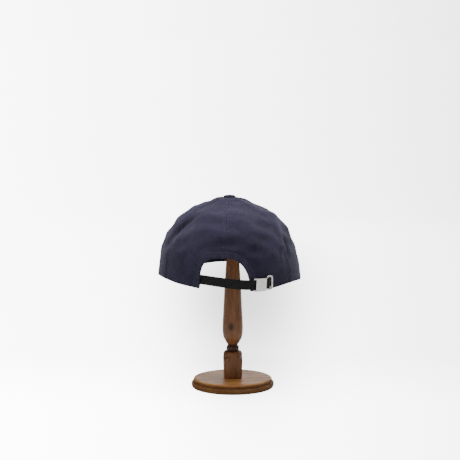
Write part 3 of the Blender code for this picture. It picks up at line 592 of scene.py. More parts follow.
seam = {
    "valley": 0.00065, "valleyWidth": 0.0008, "welt": 0.00036, "weltHalf": 0.0031, "weltEase": 0.0013,
    "row": 0.0037, "rowDip": 0.00024, "rowWidth": 0.0006, "pucker": 0.00016, "puckerPitch": 0.0062,
    "puckerAt": 0.0050, "puckerWidth": 0.0032, "gap": 0.00008, "puckerWander": 2.2,
    # worn lines beside each seam: how worn, how far away and how wide
    "worn": ((0.36, 0.0014, 0.0007), (0.16, 0.0046, 0.0009)),
}
ripples = {"count": 26, "shortest": 0.016, "longest": 0.055, "depth": 0.00021, "seed": 11}
# soft folds of the cloth, in the dents' columns
softFolds = np.array([
    (-127.0, 0.3, 0.15, 0.035, 0.006, 82.0), (-118.0, 0.42, 0.12, 0.03, -0.005, 70.0),
    (-164.0, 0.4, 0.2, 0.05, 0.008, 60.0), (-60.0, 0.52, 0.14, 0.04, 0.006, 35.0),
    (-52.0, 0.3, 0.14, 0.035, -0.005, 80.0), (-12.0, 0.56, 0.18, 0.05, 0.008, 60.0),
    (12.0, 0.38, 0.22, 0.045, 0.007, 78.0), (30.0, 0.62, 0.2, 0.06, -0.007, 50.0),
    (62.0, 0.42, 0.2, 0.05, 0.006, 96.0), (118.0, 0.4, 0.22, 0.05, 0.007, 84.0),
    (150.0, 0.6, 0.22, 0.06, 0.009, 120.0), (170.0, 0.34, 0.18, 0.045, -0.006, 100.0),
    (-100.0, 0.76, 0.12, 0.045, 0.006, 12.0), (-74.0, 0.72, 0.13, 0.05, -0.006, 160.0),
    (-90.0, 0.42, 0.2, 0.06, 0.014, 0.0), (-10.0, 0.8, 0.1, 0.06, -0.014, 0.0),
    (-149.0, 0.62, 0.17, 0.05, 0.012, 58.0),
])
draw = np.random.default_rng(ripples["seed"])
waveNumber = 2 * math.pi / draw.uniform(ripples["shortest"], ripples["longest"], ripples["count"])
waveVectors = unit(draw.normal(size=(ripples["count"], 3))) * waveNumber[:, None]
wavePhases = draw.uniform(0.0, 2 * math.pi, ripples["count"])


def runUp(level):
    # length up the wall from the rim, along the middle of the back
    return np.interp(level, levelTable, lengthsAlong(smoothCrown(crown["back"], levelTable)))


def levelOfRadius(radius):
    # the level at which the crown's right side is so far from its middle
    return float(np.interp(-radius, -crownPlan(0.0, levelTable)[0], levelTable))


def seamAngle(index):
    return crown["back"] + crown["panelAngle"] * index


def turnFor(length, angle, level):
    # the turn in degrees that moves a point of the wall by that length
    return np.degrees(length / np.hypot(*crownPlan(angle, level)))


def seamAway(angle, level):
    # signed length round the wall to the nearest of the six seams
    away = fromBack(angle)
    away = away - np.round(away / crown["panelAngle"]) * crown["panelAngle"]
    return np.radians(away) * np.hypot(*crownPlan(angle, level))


def foldsAndRipples(angle, level):
    # the soft folds and a sum of long cosine waves, eased out towards the rim and the button
    height = rowValue(rings[:, 0], level)
    point = smoothCrown(angle, level)
    wave = ripples["depth"] * np.cos(point @ waveVectors.T + wavePhases).sum(-1)
    ease = smoothStep((height - 0.20) / 0.25) * smoothStep((1.0 - height) / 0.04)
    return ease * (wave + foldRelief(point, softFolds))


def bell(off, width):
    return np.exp(-((off / width) ** 2))


def seamRelief(angle, level):
    # a narrow valley on the seam, a low welt either side of it, a dip under each row of stitches, and puckers
    away = np.abs(seamAway(angle, level))
    run = runUp(level)
    height = rowValue(rings[:, 0], level)
    valley = -seam["valley"] * bell(away, seam["valleyWidth"])
    welt = seam["welt"] * (1.0 - smoothStep((away - seam["weltHalf"]) / seam["weltEase"]))
    dip = -seam["rowDip"] * bell(away - seam["row"], seam["rowWidth"])
    wander = seam["puckerWander"] * np.sin(run * 210.0) + fromBack(angle) / 17.0
    wobble = np.sin(2 * math.pi * run / seam["puckerPitch"] + wander)
    pucker = seam["pucker"] * wobble * bell(away - seam["puckerAt"], seam["puckerWidth"])
    return (valley + welt + dip + pucker) * smoothStep((1.0 - height) / 0.012)


def clothPoint(angle, level, lift=0.0):
    return crownPoint(angle, level, lift + foldsAndRipples(angle, level) + seamRelief(angle, level))


# ---- the crown's panels

panels = {
    "names": ("back_right", "side_right", "front_right", "front_left", "side_left", "back_left"),
    "columns": 112, "rows": 134, "crowding": 0.62, "foldShading": 0.8, "cutReach": 0.016, "cutSteps": 110,
}
arch = {
    "left": 0.0344, "right": 0.0318, "height": 0.0403, "leftSquareness": 3.5, "rightSquareness": 2.5,
}
binding = {"width": 0.007, "thickness": 0.0009, "steps": 190, "puff": 0.00016, "ripple": 0.00008, "worn": 0.35,
           "stitchRows": (0.0009, 0.0058), "stitch": (0.0027, 0.0021)}
strap = {
    "width": 0.0125, "thickness": 0.0014, "height": 0.0095, "fall": 1.9, "hiddenEnd": 0.014, "tail": 0.015,
    "ribs": 5, "ribDepth": 0.00007,
}
clasp = {
    "fromArch": 0.002, "length": 0.0163, "sheet": 0.0006, "pinRadius": 0.0006, "pinFromEnd": 0.0015,
    "earRadius": 0.0014, "plate": 0.0009, "cheekLength": 0.0036, "plateCorner": 0.0009, "edge": 0.00022,
}
eyelet = {"place": 0.0574, "slotWidth": 0.0054, "rimWidth": 0.0022, "rimHeight": 0.0008, "barrelWall": 0.0005,
          "corner": 0.0017, "around": 120}
ringLengths = ringTable()


def archOutline(steps):
    # a squared oval from the left rim over to the right rim, as distance round the crown and height
    turn = np.linspace(math.pi, 0.0, steps + 1)
    across = np.cos(turn)
    power = 2.0 / np.where(across < 0, arch["leftSquareness"], arch["rightSquareness"])
    reach = np.where(across < 0, arch["left"], arch["right"])
    distance = reach * np.sign(across) * np.abs(across) ** power
    return distance, arch["height"] * np.clip(np.sin(turn), 0.0, 1.0) ** power


def evenOutline(steps):
    # the same outline at even lengths along it
    distance, height = archOutline(4000)
    length = lengthsAlong(np.stack([distance, height], -1))
    even = np.linspace(0.0, length[-1], steps + 1)
    return np.interp(even, length, distance), np.interp(even, length, height)


def slotOutline(grow, sides):
    # a rounded oblong round the strap's tail
    turn = 2 * math.pi * (np.arange(sides) + 0.5) / sides
    corner = eyelet["corner"] + grow
    x = corner * np.cos(turn) + (eyelet["slotWidth"] / 2 - eyelet["corner"]) * np.sign(np.cos(turn))
    half = strap["width"] / 2 + 3 * gap
    y = corner * np.sin(turn) + (half - eyelet["corner"]) * np.sign(np.sin(turn))
    return np.stack([x, y], -1)


gap = crown["clearance"]
bindingTop = gap + binding["thickness"]
claspStart = arch["right"] + clasp["fromArch"]
claspBase = bindingTop + gap  # the tray lies on the binding
eyeletAt = eyelet["place"]


def strapMiddle(distance):
    return strap["height"] - math.tan(math.radians(strap["fall"])) * np.asarray(distance, float)


def strapDirections(distance):
    # along the strap's middle line, across it and out of the wall, from small steps each way
    step = 0.1 * strap["width"]
    ahead = nearRim(distance + step, strapMiddle(distance + step))
    behind = nearRim(distance - step, strapMiddle(distance - step))
    above = nearRim(distance, strapMiddle(distance) + step)
    below = nearRim(distance, strapMiddle(distance) - step)
    along = unit(ahead - behind)
    outward = unit(np.cross(along, above - below))
    return along, np.cross(outward, along), outward


def seated(points, distance):
    # from a frame on the wall at the strap's middle line (X along it, Z out) to the stand's frame
    axes = np.stack(strapDirections(distance))
    return onStand(np.asarray(points, float) @ axes + nearRim(distance, strapMiddle(distance)))


def cutterMesh(name, outer, inner):
    # two loops joined by a wall, each closed to its middle
    points = np.concatenate([outer, inner, [outer.mean(0), inner.mean(0)]])
    return makeMesh(name, points, turnedFaces(2, len(outer)))


def archCutter():
    # the outline carried out and in along the wall's own direction
    distance, height = evenOutline(panels["cutSteps"])
    distance = np.concatenate([[distance[0]], distance, [distance[-1]]])
    height = np.concatenate([[-0.02], height, [-0.02]])
    reach = panels["cutReach"]
    return cutterMesh("archCutter", *(onStand(nearRim(distance, height, way)) for way in (reach, -reach)))


def slotCutter():
    loop = slotOutline(eyelet["barrelWall"] + gap, 48)
    return cutterMesh("slotCutter", *(seated(np.insert(loop, 2, z, axis=1), eyeletAt) for z in (0.006, -0.006)))


def cutAway(piece, cutter):
    # takes the cutter's shape out of the piece and keeps the result as its mesh
    helper = bpy.data.objects.new(cutter.name, cutter)
    bpy.context.scene.collection.objects.link(helper)
    step = piece.modifiers.new("cut", "BOOLEAN")
    step.operation, step.object, step.solver = "DIFFERENCE", helper, "EXACT"
    bpy.context.view_layer.update()
    result = bpy.data.meshes.new_from_object(piece.evaluated_get(bpy.context.evaluated_depsgraph_get()))
    piece.modifiers.clear()
    old, piece.data = piece.data, result
    result.name = old.name
    bpy.data.objects.remove(helper)
    bpy.data.meshes.remove(cutter)
    bpy.data.meshes.remove(old)


def makePanels(finish):
    # outer wall = crown's form + folds + seams; inner wall = the form and folds, a thickness inside
    share = np.linspace(0.0, 1.0, panels["columns"])
    share = (1.0 - panels["crowding"]) * share + panels["crowding"] * (1.0 - np.cos(math.pi * share)) / 2
    across, level = np.meshgrid(share, np.linspace(0.0, levelOfRadius(crown["topHole"]), panels["rows"]))
    for index, name in enumerate(panels["names"]):
        start = seamAngle(index)
        radius = np.hypot(*crownPlan(start + crown["panelAngle"] / 2, level))
        inset = np.degrees(seam["gap"] / radius)
        angle = start + inset + (crown["panelAngle"] - 2 * inset) * across
        outer = clothPoint(angle, level)
        inner = crownPoint(angle, level, -crown["thickness"] + foldsAndRipples(angle, level))
        uv = 100.0 * np.stack([np.radians(angle - start - crown["panelAngle"] / 2) * radius, runUp(level)], -1)
        away = np.abs(seamAway(angle, level))
        wearAndShade = sum(worn * bell(away - middle, width) for worn, middle, width in seam["worn"])
        wearAndShade = wearAndShade * smoothStep((crown["height"] * rowValue(rings[:, 0], level)) / 0.01)
        # painted shade in the folds' hollows and a painted highlight on their ridges, added to the worn lines by
        # the seams
        folds = foldRelief(smoothCrown(angle, level), np.concatenate([dents, softFolds]))
        wearAndShade = wearAndShade + panels["foldShading"] * np.clip(folds / 0.0024, -1.0, 0.5)
        piece = addPiece(
            f"panel_{name}_cloth", onStand(np.stack([outer, inner])), shellFaces(*level.shape), finish,
            np.stack([uv, uv]), np.stack([wearAndShade, 0.0 * wearAndShade]), stands=[f"panel_{name}"])
        if name.startswith("back"):
            cutAway(piece, archCutter())
        if name == "back_right":
            cutAway(piece, slotCutter())


# ---- stitches

thread = {"pitch": 0.0030, "length": 0.0023, "width": 0.00042, "rise": 0.00018, "sides": 5}
# where the crown's rows start and end: over the rim, at the top, past the arch and past the eyelet
rows = {"low": 0.0035, "rimRow": 0.0042, "topRadius": 0.0105, "pastArch": 0.001, "pastEyelet": 0.0068}


def stitchRun(path, outward, pitch=None, length=None, width=None):
    # short bowed threads at even lengths along a path: rings at -.95, -.45, .45 and .95 of a half length
    pitch, length, width = pitch or thread["pitch"], length or thread["length"], width or thread["width"]
    lengths = lengthsAlong(path)
    count = max(1, int(lengths[-1] / pitch))
    middle = (np.arange(count) + 0.5) * lengths[-1] / count

    def at(values, where):
        return np.stack([np.interp(where, lengths, values[:, axis]) for axis in range(3)], -1)

    centre, up = at(path, middle), unit(at(outward, middle))
    along = unit(at(path, middle + 0.3 * length) - at(path, middle - 0.3 * length))
    side = unit(np.cross(up, along))
    up = np.cross(along, side)
    station = np.array([-0.95, -0.45, 0.45, 0.95])
    girth = np.array([0.45, 1.0, 1.0, 0.45])
    turn = fullTurn(thread["sides"])
    forward = (station[:, None] * length / 2 + 0.0 * turn).ravel()
    aside = (girth[:, None] * np.cos(turn) * width / 2).ravel()
    bow = thread["rise"] * (1.0 - 1.7 * station[:, None] ** 2)
    rise = (girth[:, None] * np.sin(turn) * width / 2 + bow).ravel()
    return (carried(centre, side, aside, up, rise) + along[:, None] * forward[:, None]).reshape(-1, 3)


def stitchPiece(name, runs, finish):
    # all the runs as one piece; every thread is four rings of a few sides with an end cap each
    points = np.concatenate([stitchRun(*run) for run in runs])
    sides, rows = thread["sides"], 4
    one = gridQuads(rows, sides, around=True)
    starts = np.arange(len(points) // (sides * rows)) * sides * rows
    quads = (one[None] + starts[:, None, None]).reshape(-1, 4)
    caps = np.stack([np.arange(sides), np.arange(sides) + sides * (rows - 1)])
    caps = (caps[None] + starts[:, None, None]).reshape(-1, sides)
    addPiece(name, onStand(points), quads.tolist() + caps.tolist(), finish)


def crownStitches(finish):
    # two rows beside each seam, and one just over the rim
    runs = []
    low, high = levelAt(rows["low"]), levelOfRadius(rows["topRadius"])
    besideArch = binding["width"] + rows["pastArch"]
    for index in range(6):
        start = levelAt(arch["height"] + besideArch) if index == 0 else low
        level = np.linspace(start, high, 320)
        for side in (-1.0, 1.0):
            angle = seamAngle(index) + side * turnFor(seam["row"], seamAngle(index), level)
            runs.append((clothPoint(angle, level), wallDirections(angle, level)[2]))
    whole = ringLengths[-1]
    distance = np.linspace(eyeletAt + rows["pastEyelet"], 2 * whole - arch["left"] - besideArch, 900)
    distance = np.where(distance > whole, distance - 2 * whole, distance)
    angle, level = wallAt(distance, rows["rimRow"])
    runs.append((clothPoint(angle, level), wallDirections(angle, level)[2]))
    stitchPiece("crown_stitches", runs, finish)


# ---- button, visor and sweatband

button = {"radius": 0.0077, "height": 0.0024, "around": 96, "down": 44, "folds": 11, "foldDepth": 0.02,
          "hidden": 0.35}
buttonTurns = np.array([(1.0, 0.0), (0.99, 0.20), (0.95, 0.43), (0.87, 0.64), (0.73, 0.82), (0.53, 0.94),
                        (0.30, 1.0), (0.10, 0.97), (0.0, 0.86)])


def turnedProfile(rows, count, start=0.0):
    # heights and radii at even levels of a table, as two columns
    level = np.linspace(start, len(rows) - 1.0, count)[:, None]
    return rowValue(rows[:, 0], level), rowValue(rows[:, 1], level)


def makeButton(finish):
    # a turned dome whose lower half is gathered: radius times 1 - depth (1 + cos(folds turn)) / 2
    turn = fullTurn(button["around"])
    high, out = turnedProfile(buttonTurns, button["down"], button["hidden"])
    ripple = 0.5 + 0.5 * np.cos(button["folds"] * turn)
    gather = button["foldDepth"] * ripple * smoothStep((0.75 - high) / 0.6)
    seat = crown["height"] + 0.0001
    radius = button["radius"] * out * (1.0 - gather)
    turns = stacked(radius * np.cos(turn), radius * np.sin(turn), seat + button["height"] * high)
    points = np.concatenate([turns.reshape(-1, 3), [[0.0, 0.0, seat + button["height"]], [0.0, 0.0, seat]]])
    addPiece("top_button_cover", onStand(points), turnedFaces(*turns.shape[:2]), finish,
             100.0 * points[:, :2], stands=["top_button"])


def visorEdge(across):
    # the inner edge follows the crown's wall at the rim, tucked a little into the cloth
    point = crownPoint(90.0 + visor["spread"] * (1.0 - 2.0 * np.asarray(across, float)), 0.0, -visor["tuck"])
    return point[..., 0], point[..., 1]


def visorPlan(across, out):
    # from the crown's wall to a squared oval: half |sin|^p across and reach cos^p forward
    innerX, innerY = visorEdge(across)
    tipX, tipY = visorEdge(1.0)
    half, startY = float(tipX) + visor["tipWidth"], float(tipY) - visor["tipWidth"]
    reach = crown["frontReach"] + visor["length"] - startY
    turn = math.pi / 2 * (2.0 * across - 1.0)
    power = 2.0 / visor["squareness"]
    outerX = half * np.sign(turn) * np.abs(np.sin(turn)) ** power
    outerY = startY + reach * np.clip(np.cos(turn), 0.0, 1.0) ** power
    wide, deep = outerX - innerX, outerY - innerY
    return innerX + wide * out, innerY + deep * out, np.hypot(wide, deep)


def visorSurface(across, out, top):
    # the bowed underside plus a half thickness, then up or down by a rounded edge's height less the grooves
    x, y, length = visorPlan(across, out)
    toEdge = (1.0 - out) * length
    share = np.clip(toEdge / visor["edge"], 0.0, 1.0)
    half = visor["thickness"] / 2 * np.sqrt(1.0 - (1.0 - share) ** 2)
    row = np.round(toEdge / visor["rowGap"])
    near = bell(toEdge - row * visor["rowGap"], visor["grooveWidth"]) * (row > 0) * (row <= visor["rows"])
    half = half - visor["groove"] * near
    return np.stack([x, y, visorUnderside(x, y) + visor["thickness"] / 2 + (half if top else -half)], -1)


def makeVisor(finish, threadFinish):
    # out along the top, round the edge and back underneath, so each line across is one closed profile
    across = np.linspace(0.0, 1.0, visor["across"])
    across = 0.5 * across + 0.5 * (1.0 - np.cos(math.pi * across)) / 2
    out = np.sin(math.pi / 2 * np.linspace(0.0, 1.0, visor["out"])) ** 0.8
    across, out = np.meshgrid(across, out, indexing="ij")
    top, low = visorSurface(across, out, True), visorSurface(across, out, False)
    points = np.concatenate([top, low[:, -2::-1]], axis=1)
    toEdge = (1.0 - out) * visorPlan(across, out)[2]
    wearAndShade = visor["worn"] * bell(toEdge, visor["wornWidth"])
    wearAndShade = np.concatenate([wearAndShade, wearAndShade[:, -2::-1]], axis=1)
    addTube("visor_cloth", points, finish, points[..., :2], ["visor"], wearAndShade)
    runs = []
    for row in range(1, visor["rows"] + 1):
        line = np.linspace(0.004, 0.996, 900)
        line = line[visorPlan(line, 1.0)[2] > row * visor["rowGap"] + 0.0015]
        out = 1.0 - row * visor["rowGap"] / visorPlan(line, 1.0)[2]
        for top, way in ((True, 1.0), (False, -1.0)):
            path = visorSurface(line, out, top)
            runs.append((path, np.tile([0.0, 0.1 * way, way], (len(path), 1))))
    stitchPiece("visor_stitches", runs, threadFinish)


sweatband = {"height": 0.028, "thickness": 0.0012, "lift": 0.001, "gap": 0.0007, "steps": 420, "wave": 0.0002,
             "stitchRows": (0.0245, 0.0262), "stitch": (0.0034, 0.0026, 0.0004)}


def pressedIn(distance, start, end):
    # one between the two places, easing to nothing a strap's width beyond them
    rising = smoothStep(1.0 + (distance - start) / strap["width"])
    return rising * smoothStep(1.0 + (end - distance) / strap["width"])


def makeSweatband(finish, threadFinish):
    # a rounded strip's profile carried round inside the rim, deeper where the strap's ends pass
    whole = ringLengths[-1]
    length = 2 * (whole - gap) - arch["left"] - arch["right"]
    distance = arch["right"] + gap + length * np.linspace(0.0, 1.0, sweatband["steps"])
    distance = np.where(distance > whole, distance - 2 * whole, distance)[:, None]
    depth = crown["thickness"] + sweatband["gap"] + (strap["thickness"] + gap) * (
        pressedIn(distance, -arch["left"] - strap["hiddenEnd"], -arch["left"])
        + pressedIn(distance, eyeletAt, eyeletAt + strap["tail"]))
    low, high, thick = sweatband["lift"], sweatband["lift"] + sweatband["height"], sweatband["thickness"]
    middle = (low + high) / 2
    corners = [(low, 0.0), (middle, 0.0), (high, 0.0), (high, thick), (middle, thick), (low, thick)]
    shape = roundCorners(corners, [0.0005, 0.006, 0.0005, 0.0005, 0.006, 0.0005], 7)
    height, inward = shape[None, :, 0], shape[None, :, 1]
    wave = 1.0 + np.sin(distance * 240.0 + 1.5 * np.sin(distance * 61.0))
    wave = sweatband["wave"] * (inward > thick / 2) * wave * smoothStep((height - low) / 0.02)
    points = nearRim(distance, height, -(depth + inward + wave))
    addTube("sweatband_cloth", points, finish, stacked(distance, height), ["sweatband"])
    line, seat = distance[4:-4, 0], depth[4:-4, 0]
    runs = []
    for high in sweatband["stitchRows"]:
        path = nearRim(line, high, -(seat + thick + 0.00012))
        runs.append((path, -wallDirections(*wallAt(line, high))[2], *sweatband["stitch"]))
    stitchPiece("sweatband_stitches", runs, threadFinish)


tape = {"half": 0.0055, "thickness": 0.0005, "rows": 90, "columns": 9, "low": 0.0295, "pastArch": 0.0006,
        "topRadius": 0.036}


def makeTapes(finish):
    # a flat strip along the inside of each seam, from above the sweatband to near the head
    parts = []
    high = levelOfRadius(tape["topRadius"])
    across = np.linspace(-1.0, 1.0, tape["columns"])[None, :]
    for index in range(6):
        low = levelAt(tape["low"] if index else arch["height"] + tape["pastArch"])
        level = np.linspace(low, high, tape["rows"])[:, None]
        angle = seamAngle(index) + across * turnFor(tape["half"], seamAngle(index), level)
        angle, level = matched(angle, level)
        inside = -crown["thickness"] + foldsAndRipples(angle, level) - 0.00005
        puff = tape["thickness"] * (1.0 - 0.5 * across ** 6)
        points = np.stack([crownPoint(angle, level, inside), crownPoint(angle, level, inside - puff)])
        parts.append((points, shellFaces(*level.shape)))
    points, faces = joined(parts)
    addPiece("seam_tapes", onStand(points), faces, finish, 100.0 * points[:, (0, 2)])


# ---- the opening's binding, the strap and the clasp

def makeBinding(finish, threadFinish):
    # an L with softly padded corners carried along the arch: over its face and in across its edge
    distance, height = evenOutline(binding["steps"])
    edge = nearRim(distance, height)
    along = unit(np.gradient(edge, axis=0))
    outward = wallDirections(*wallAt(distance, height))[2]
    aside = unit(np.cross(outward, along))
    thick, width = binding["thickness"], binding["width"]
    corners = [(-gap - thick, -crown["thickness"]), (-gap, -crown["thickness"]), (-gap, gap - 0.0002),
               (width, gap - 0.0002), (width, bindingTop), (-gap - thick, bindingTop)]
    shape = roundCorners(corners, [0.0003, 0.0003, 0.0001, 0.0001, 0.0007, 0.0008], 8)
    over, rise = shape.T
    run = lengthsAlong(edge)
    face = rise > bindingTop - 0.0002
    pad = face * binding["puff"] * (np.sin(math.pi * np.clip(over / width, 0.0, 1.0)) - 0.3)
    ripple = face * binding["ripple"] * np.sin(run[:, None] / 0.0011 + 3.0 * np.sin(run[:, None] / 0.011))
    points = carried(edge, aside, over, outward, rise + pad + ripple)
    wearAndShade = binding["worn"] * face * (bell(over - width, 0.001) + bell(over, 0.0012))
    wearAndShade = np.broadcast_to(wearAndShade, points.shape[:2])
    addTube("back_arch_binding_cloth", points, finish, stacked(run[:, None], over),
            ["back_arch_binding"], wearAndShade)
    runs = []
    for off in binding["stitchRows"]:
        path = edge + aside * off + outward * (bindingTop + 0.00004)
        runs.append((path[2:-2], outward[2:-2], *binding["stitch"]))
    stitchPiece("binding_stitches", runs, threadFinish)


strapInside = -(crown["thickness"] + gap + strap["thickness"] / 2)
strapOutside = claspBase + clasp["sheet"] + 2 * gap + strap["thickness"] / 2
diveLength = eyelet["slotWidth"] + strap["thickness"]


def strapOffset(distance):
    # a smooth step out across the opening, then a cubic step back in through the eyelet
    start, end = bindingTop - arch["left"], arch["right"] - bindingTop
    dive = np.clip(0.5 + (distance - eyeletAt + gap) / diveLength, 0.0, 1.0)
    dive = dive * dive * (3.0 - 2.0 * dive)
    return strapInside + (strapOutside - strapInside) * (smoothStep((distance - start) / (end - start)) - dive)


def makeStrap(finish):
    # a ribbed ribbon's profile carried along the middle line, square to the way that it runs
    diveStart, diveEnd = eyeletAt - diveLength / 2, eyeletAt + diveLength / 2
    distance = np.concatenate([
        np.linspace(-arch["left"] - strap["hiddenEnd"], diveStart, 190, endpoint=False),
        np.linspace(diveStart, diveEnd, 60, endpoint=False),
        np.linspace(diveEnd, eyeletAt + strap["tail"], 30)])
    across, outward = strapDirections(distance)[1:]
    line = nearRim(distance, strapMiddle(distance)) + outward * strapOffset(distance)[:, None]
    along = unit(np.gradient(line, axis=0))
    upward = unit(np.cross(along, across))
    half, thick = strap["width"] / 2, strap["thickness"] / 2
    side = half * np.sin(math.pi / 2 * np.linspace(-1.0, 1.0, 41))
    ribs = 0.5 + 0.5 * np.cos(2 * math.pi * strap["ribs"] * (side / half + 1) / 2)
    bulge = (thick - strap["ribDepth"] * ribs) * np.clip(1.0 - np.abs(side / half) ** 18, 0.0, 1.0) ** 0.5
    over = np.concatenate([side, side[-2:0:-1]])
    rise = np.concatenate([bulge, -bulge[-2:0:-1]])
    points = carried(line, across, over, upward, rise)
    addTube("strap_webbing", points, finish, stacked(distance[:, None], over), ["strap"])


def slab(outline, low, high, edge):
    # a flat piece: its outline moved in along its own normals by a rounded edge, from low to high
    outline = np.asarray(outline, float)
    tangent = unit(np.roll(outline, -1, 0) - np.roll(outline, 1, 0))
    inward = np.stack([-tangent[:, 1], tangent[:, 0]], -1)
    area = (outline[:, 0] * np.roll(outline[:, 1], -1) - outline[:, 1] * np.roll(outline[:, 0], -1)).sum()
    inward = inward * np.sign(area)
    turn = np.linspace(0.0, math.pi / 2, 5)
    inset = edge * (1.0 - np.cos(turn))
    shift = edge * (1.0 - np.sin(turn))
    insets = np.concatenate([[2 * edge], inset[::-1], inset, [2 * edge]])
    heights = np.concatenate([[high], high - shift[::-1], low + shift, [low]])
    loops = [np.insert(outline + inward * step, 2, z, axis=1) for step, z in zip(insets, heights)]
    middle = outline.mean(0)
    return np.concatenate([*loops, [[*middle, high], [*middle, low]]]), turnedFaces(len(loops), len(outline))


def claspHeights():
    # the pin's middle, the top of the tray's walls and the plate's underside, over the crown's wall
    plateLow = strapOutside + strap["thickness"] / 2 + 1.5 * gap
    wallTop = plateLow - gap
    return wallTop - clasp["pinRadius"] - gap, wallTop, plateLow


def makeClasp(finish):
    pinHeight, wallTop, plateLow = claspHeights()
    middle = claspStart + clasp["length"] / 2
    half, sheet = clasp["length"] / 2, clasp["sheet"]
    inner = strap["width"] / 2 + gap
    outer = inner + sheet
    base, floorTop = claspBase, claspBase + sheet

    # the tray: a channel's profile with eased corners, carried along the strap
    channel = [(-outer, base), (outer, base), (outer, wallTop), (inner, wallTop), (inner, floorTop),
               (-inner, floorTop), (-inner, wallTop), (-outer, wallTop)]
    shape = roundCorners(channel, [0.0005, 0.0005, 0.0002, 0.0002, 0.0003, 0.0003, 0.0002, 0.0002], 5)
    ends = np.array([half, half - 0.00008])
    x = np.array([*-ends, *np.linspace(-half + 0.0003, half - 0.0003, 12), *ends[::-1]])
    tray = stacked(x[:, None], *shape.T)
    parts = [(tray, tubeFaces(*tray.shape[:2]))]
    turn = fullTurn(24)
    for side in (-1.0, 1.0):
        y = side * np.array([inner + sheet / 2, outer + gap + sheet - 0.0001, outer + gap + sheet])[:, None]
        radius = clasp["pinRadius"] * np.array([1.0, 1.0, 0.8])[:, None]
        pin = stacked(clasp["pinFromEnd"] - half + radius * np.cos(turn), y, pinHeight + radius * np.sin(turn))
        parts.append((pin, tubeFaces(*pin.shape[:2])))
    points, faces = joined(parts)
    addPiece("clasp_tray", seated(points, middle), faces, finish, 100.0 * points[:, :2],
             stands=["clasp_frame"])

    # the lever: a plate with a rounded edge, and a cheek each side that turns on the tray's pins
    cheekIn = outer + gap
    cheekOut = cheekIn + sheet
    reach = cheekOut + gap / 2
    low = plateLow - pinHeight
    end = clasp["length"] - clasp["pinFromEnd"]
    near = clasp["earRadius"] - 0.0004
    corners = [(near, -reach), (end, -reach), (end, reach), (near, reach)]
    corners = roundCorners(corners, clasp["plateCorner"], 9)
    parts = [slab(corners, low, low + clasp["plate"], clasp["edge"])]
    bend = np.radians(np.linspace(-50.0, -235.0, 30))
    ear = clasp["earRadius"] * np.stack([np.cos(bend), np.sin(bend)], -1)
    back = stacked(np.linspace(0.0, clasp["cheekLength"], 12), low + clasp["plate"] / 2)
    outline = np.concatenate([ear, back])
    for side in (-1.0, 1.0):
        flat, itsFaces = slab(outline, cheekIn, cheekOut, 0.00012)
        parts.append((np.stack([flat[:, 0], side * flat[:, 2], flat[:, 1]], -1), itsFaces))
    points, faces = joined(parts)
    points = points + np.array([clasp["pinFromEnd"] - half, 0.0, pinHeight])
    addPiece("clasp_lever_plate", seated(points, middle), faces, finish, 100.0 * points[:, :2],
             body="clasp_lever", stands=["clasp_lever"])


def makeEyelet(finish):
    # a rolled rim on the cloth and a barrel through it: a rounded profile carried round the slot
    wall, rim, base = eyelet["barrelWall"], eyelet["rimWidth"], gap
    top = base + eyelet["rimHeight"]
    corners = [(0.0, -crown["thickness"]), (wall, -crown["thickness"]), (wall, base), (rim, base - 0.0002),
               (0.96 * rim, base + 0.55 * eyelet["rimHeight"]), (0.66 * rim, top), (0.34 * rim, top),
               (0.0, base + 0.45 * eyelet["rimHeight"])]
    shape = roundCorners(corners, [0.0001, 0.0001, 0.0001, 0.0001, 0.0003, 0.0003, 0.0003, 0.0003], 5)
    loops = np.stack([slotOutline(out, eyelet["around"]) for out in shape[:, 0]], axis=1)
    points = stacked(*np.moveaxis(loops, -1, 0), shape[:, 1])
    run = np.linspace(0.0, 5.0, eyelet["around"])[:, None]
    addPiece("strap_eyelet_ring", seated(points.reshape(-1, 3), eyeletAt),
             gridQuads(*points.shape[:2], around=True, along=True).tolist(), finish,
             stacked(run, 100.0 * shape[:, 0]), stands=["strap_eyelet"])


# ---- the wooden stand

stand = {
    "baseRadius": 0.0534, "baseThickness": 0.012, "blockWidth": 0.0246, "footWidth": 0.022,
    "blockHeight": 0.0356, "shoulderDrop": 0.0068, "postTurn": 4.0, "postRadius": 0.0132,
    "headRadius": 0.030, "headHeight": 0.028,
    "seatRadius": 0.012, "waistRadius": 0.0288, "waistShare": 0.55, "around": 220, "softness": 0.00014,
}
# height and radius of each turned piece from the top down, as shares of its height and radius
baseTurns = np.array([
    (1.0, 0.899), (0.95, 0.936), (0.84, 0.948), (0.72, 0.948), (0.66, 0.94), (0.625, 0.932), (0.6, 0.966),
    (0.525, 0.989), (0.375, 1.0), (0.18, 0.996), (0.05, 0.984), (0.0, 0.97),
])
postTurns = np.array([
    (1.0, 0.492), (0.84, 0.57), (0.685, 0.652), (0.63, 0.689), (0.473, 0.818), (0.378, 0.875), (0.276, 0.943),
    (0.215, 0.985), (0.168, 1.0), (0.138, 0.982), (0.109, 0.924), (0.092, 0.85), (0.078, 0.75), (0.058, 0.61),
    (0.048, 0.52), (0.04, 0.489), (0.031, 0.583), (0.016, 0.614), (0.0, 0.568),
])
headShares = np.linspace(0.10, 1.0, 14)


def smoothMin(first, second, soft):
    # -soft log(exp(-first/soft) + exp(-second/soft)): the smaller of two, with the edge between them eased
    small = np.minimum(first, second)
    return small - soft * np.log(np.exp((small - first) / soft) + np.exp((small - second) / soft))


def turnedPiece(name, radius, height, finish, node):
    # rings of a radius that may change with the turn, closed by a pole at each end
    turn = fullTurn(stand["around"])
    points = stacked(radius * np.cos(turn), radius * np.sin(turn), height)
    poles = [[0.0, 0.0, points[0, 0, 2]], [0.0, 0.0, points[-1, 0, 2]]]
    addPiece(name, np.concatenate([points.reshape(-1, 3), poles]), turnedFaces(*points.shape[:2]), finish,
             stands=[node])


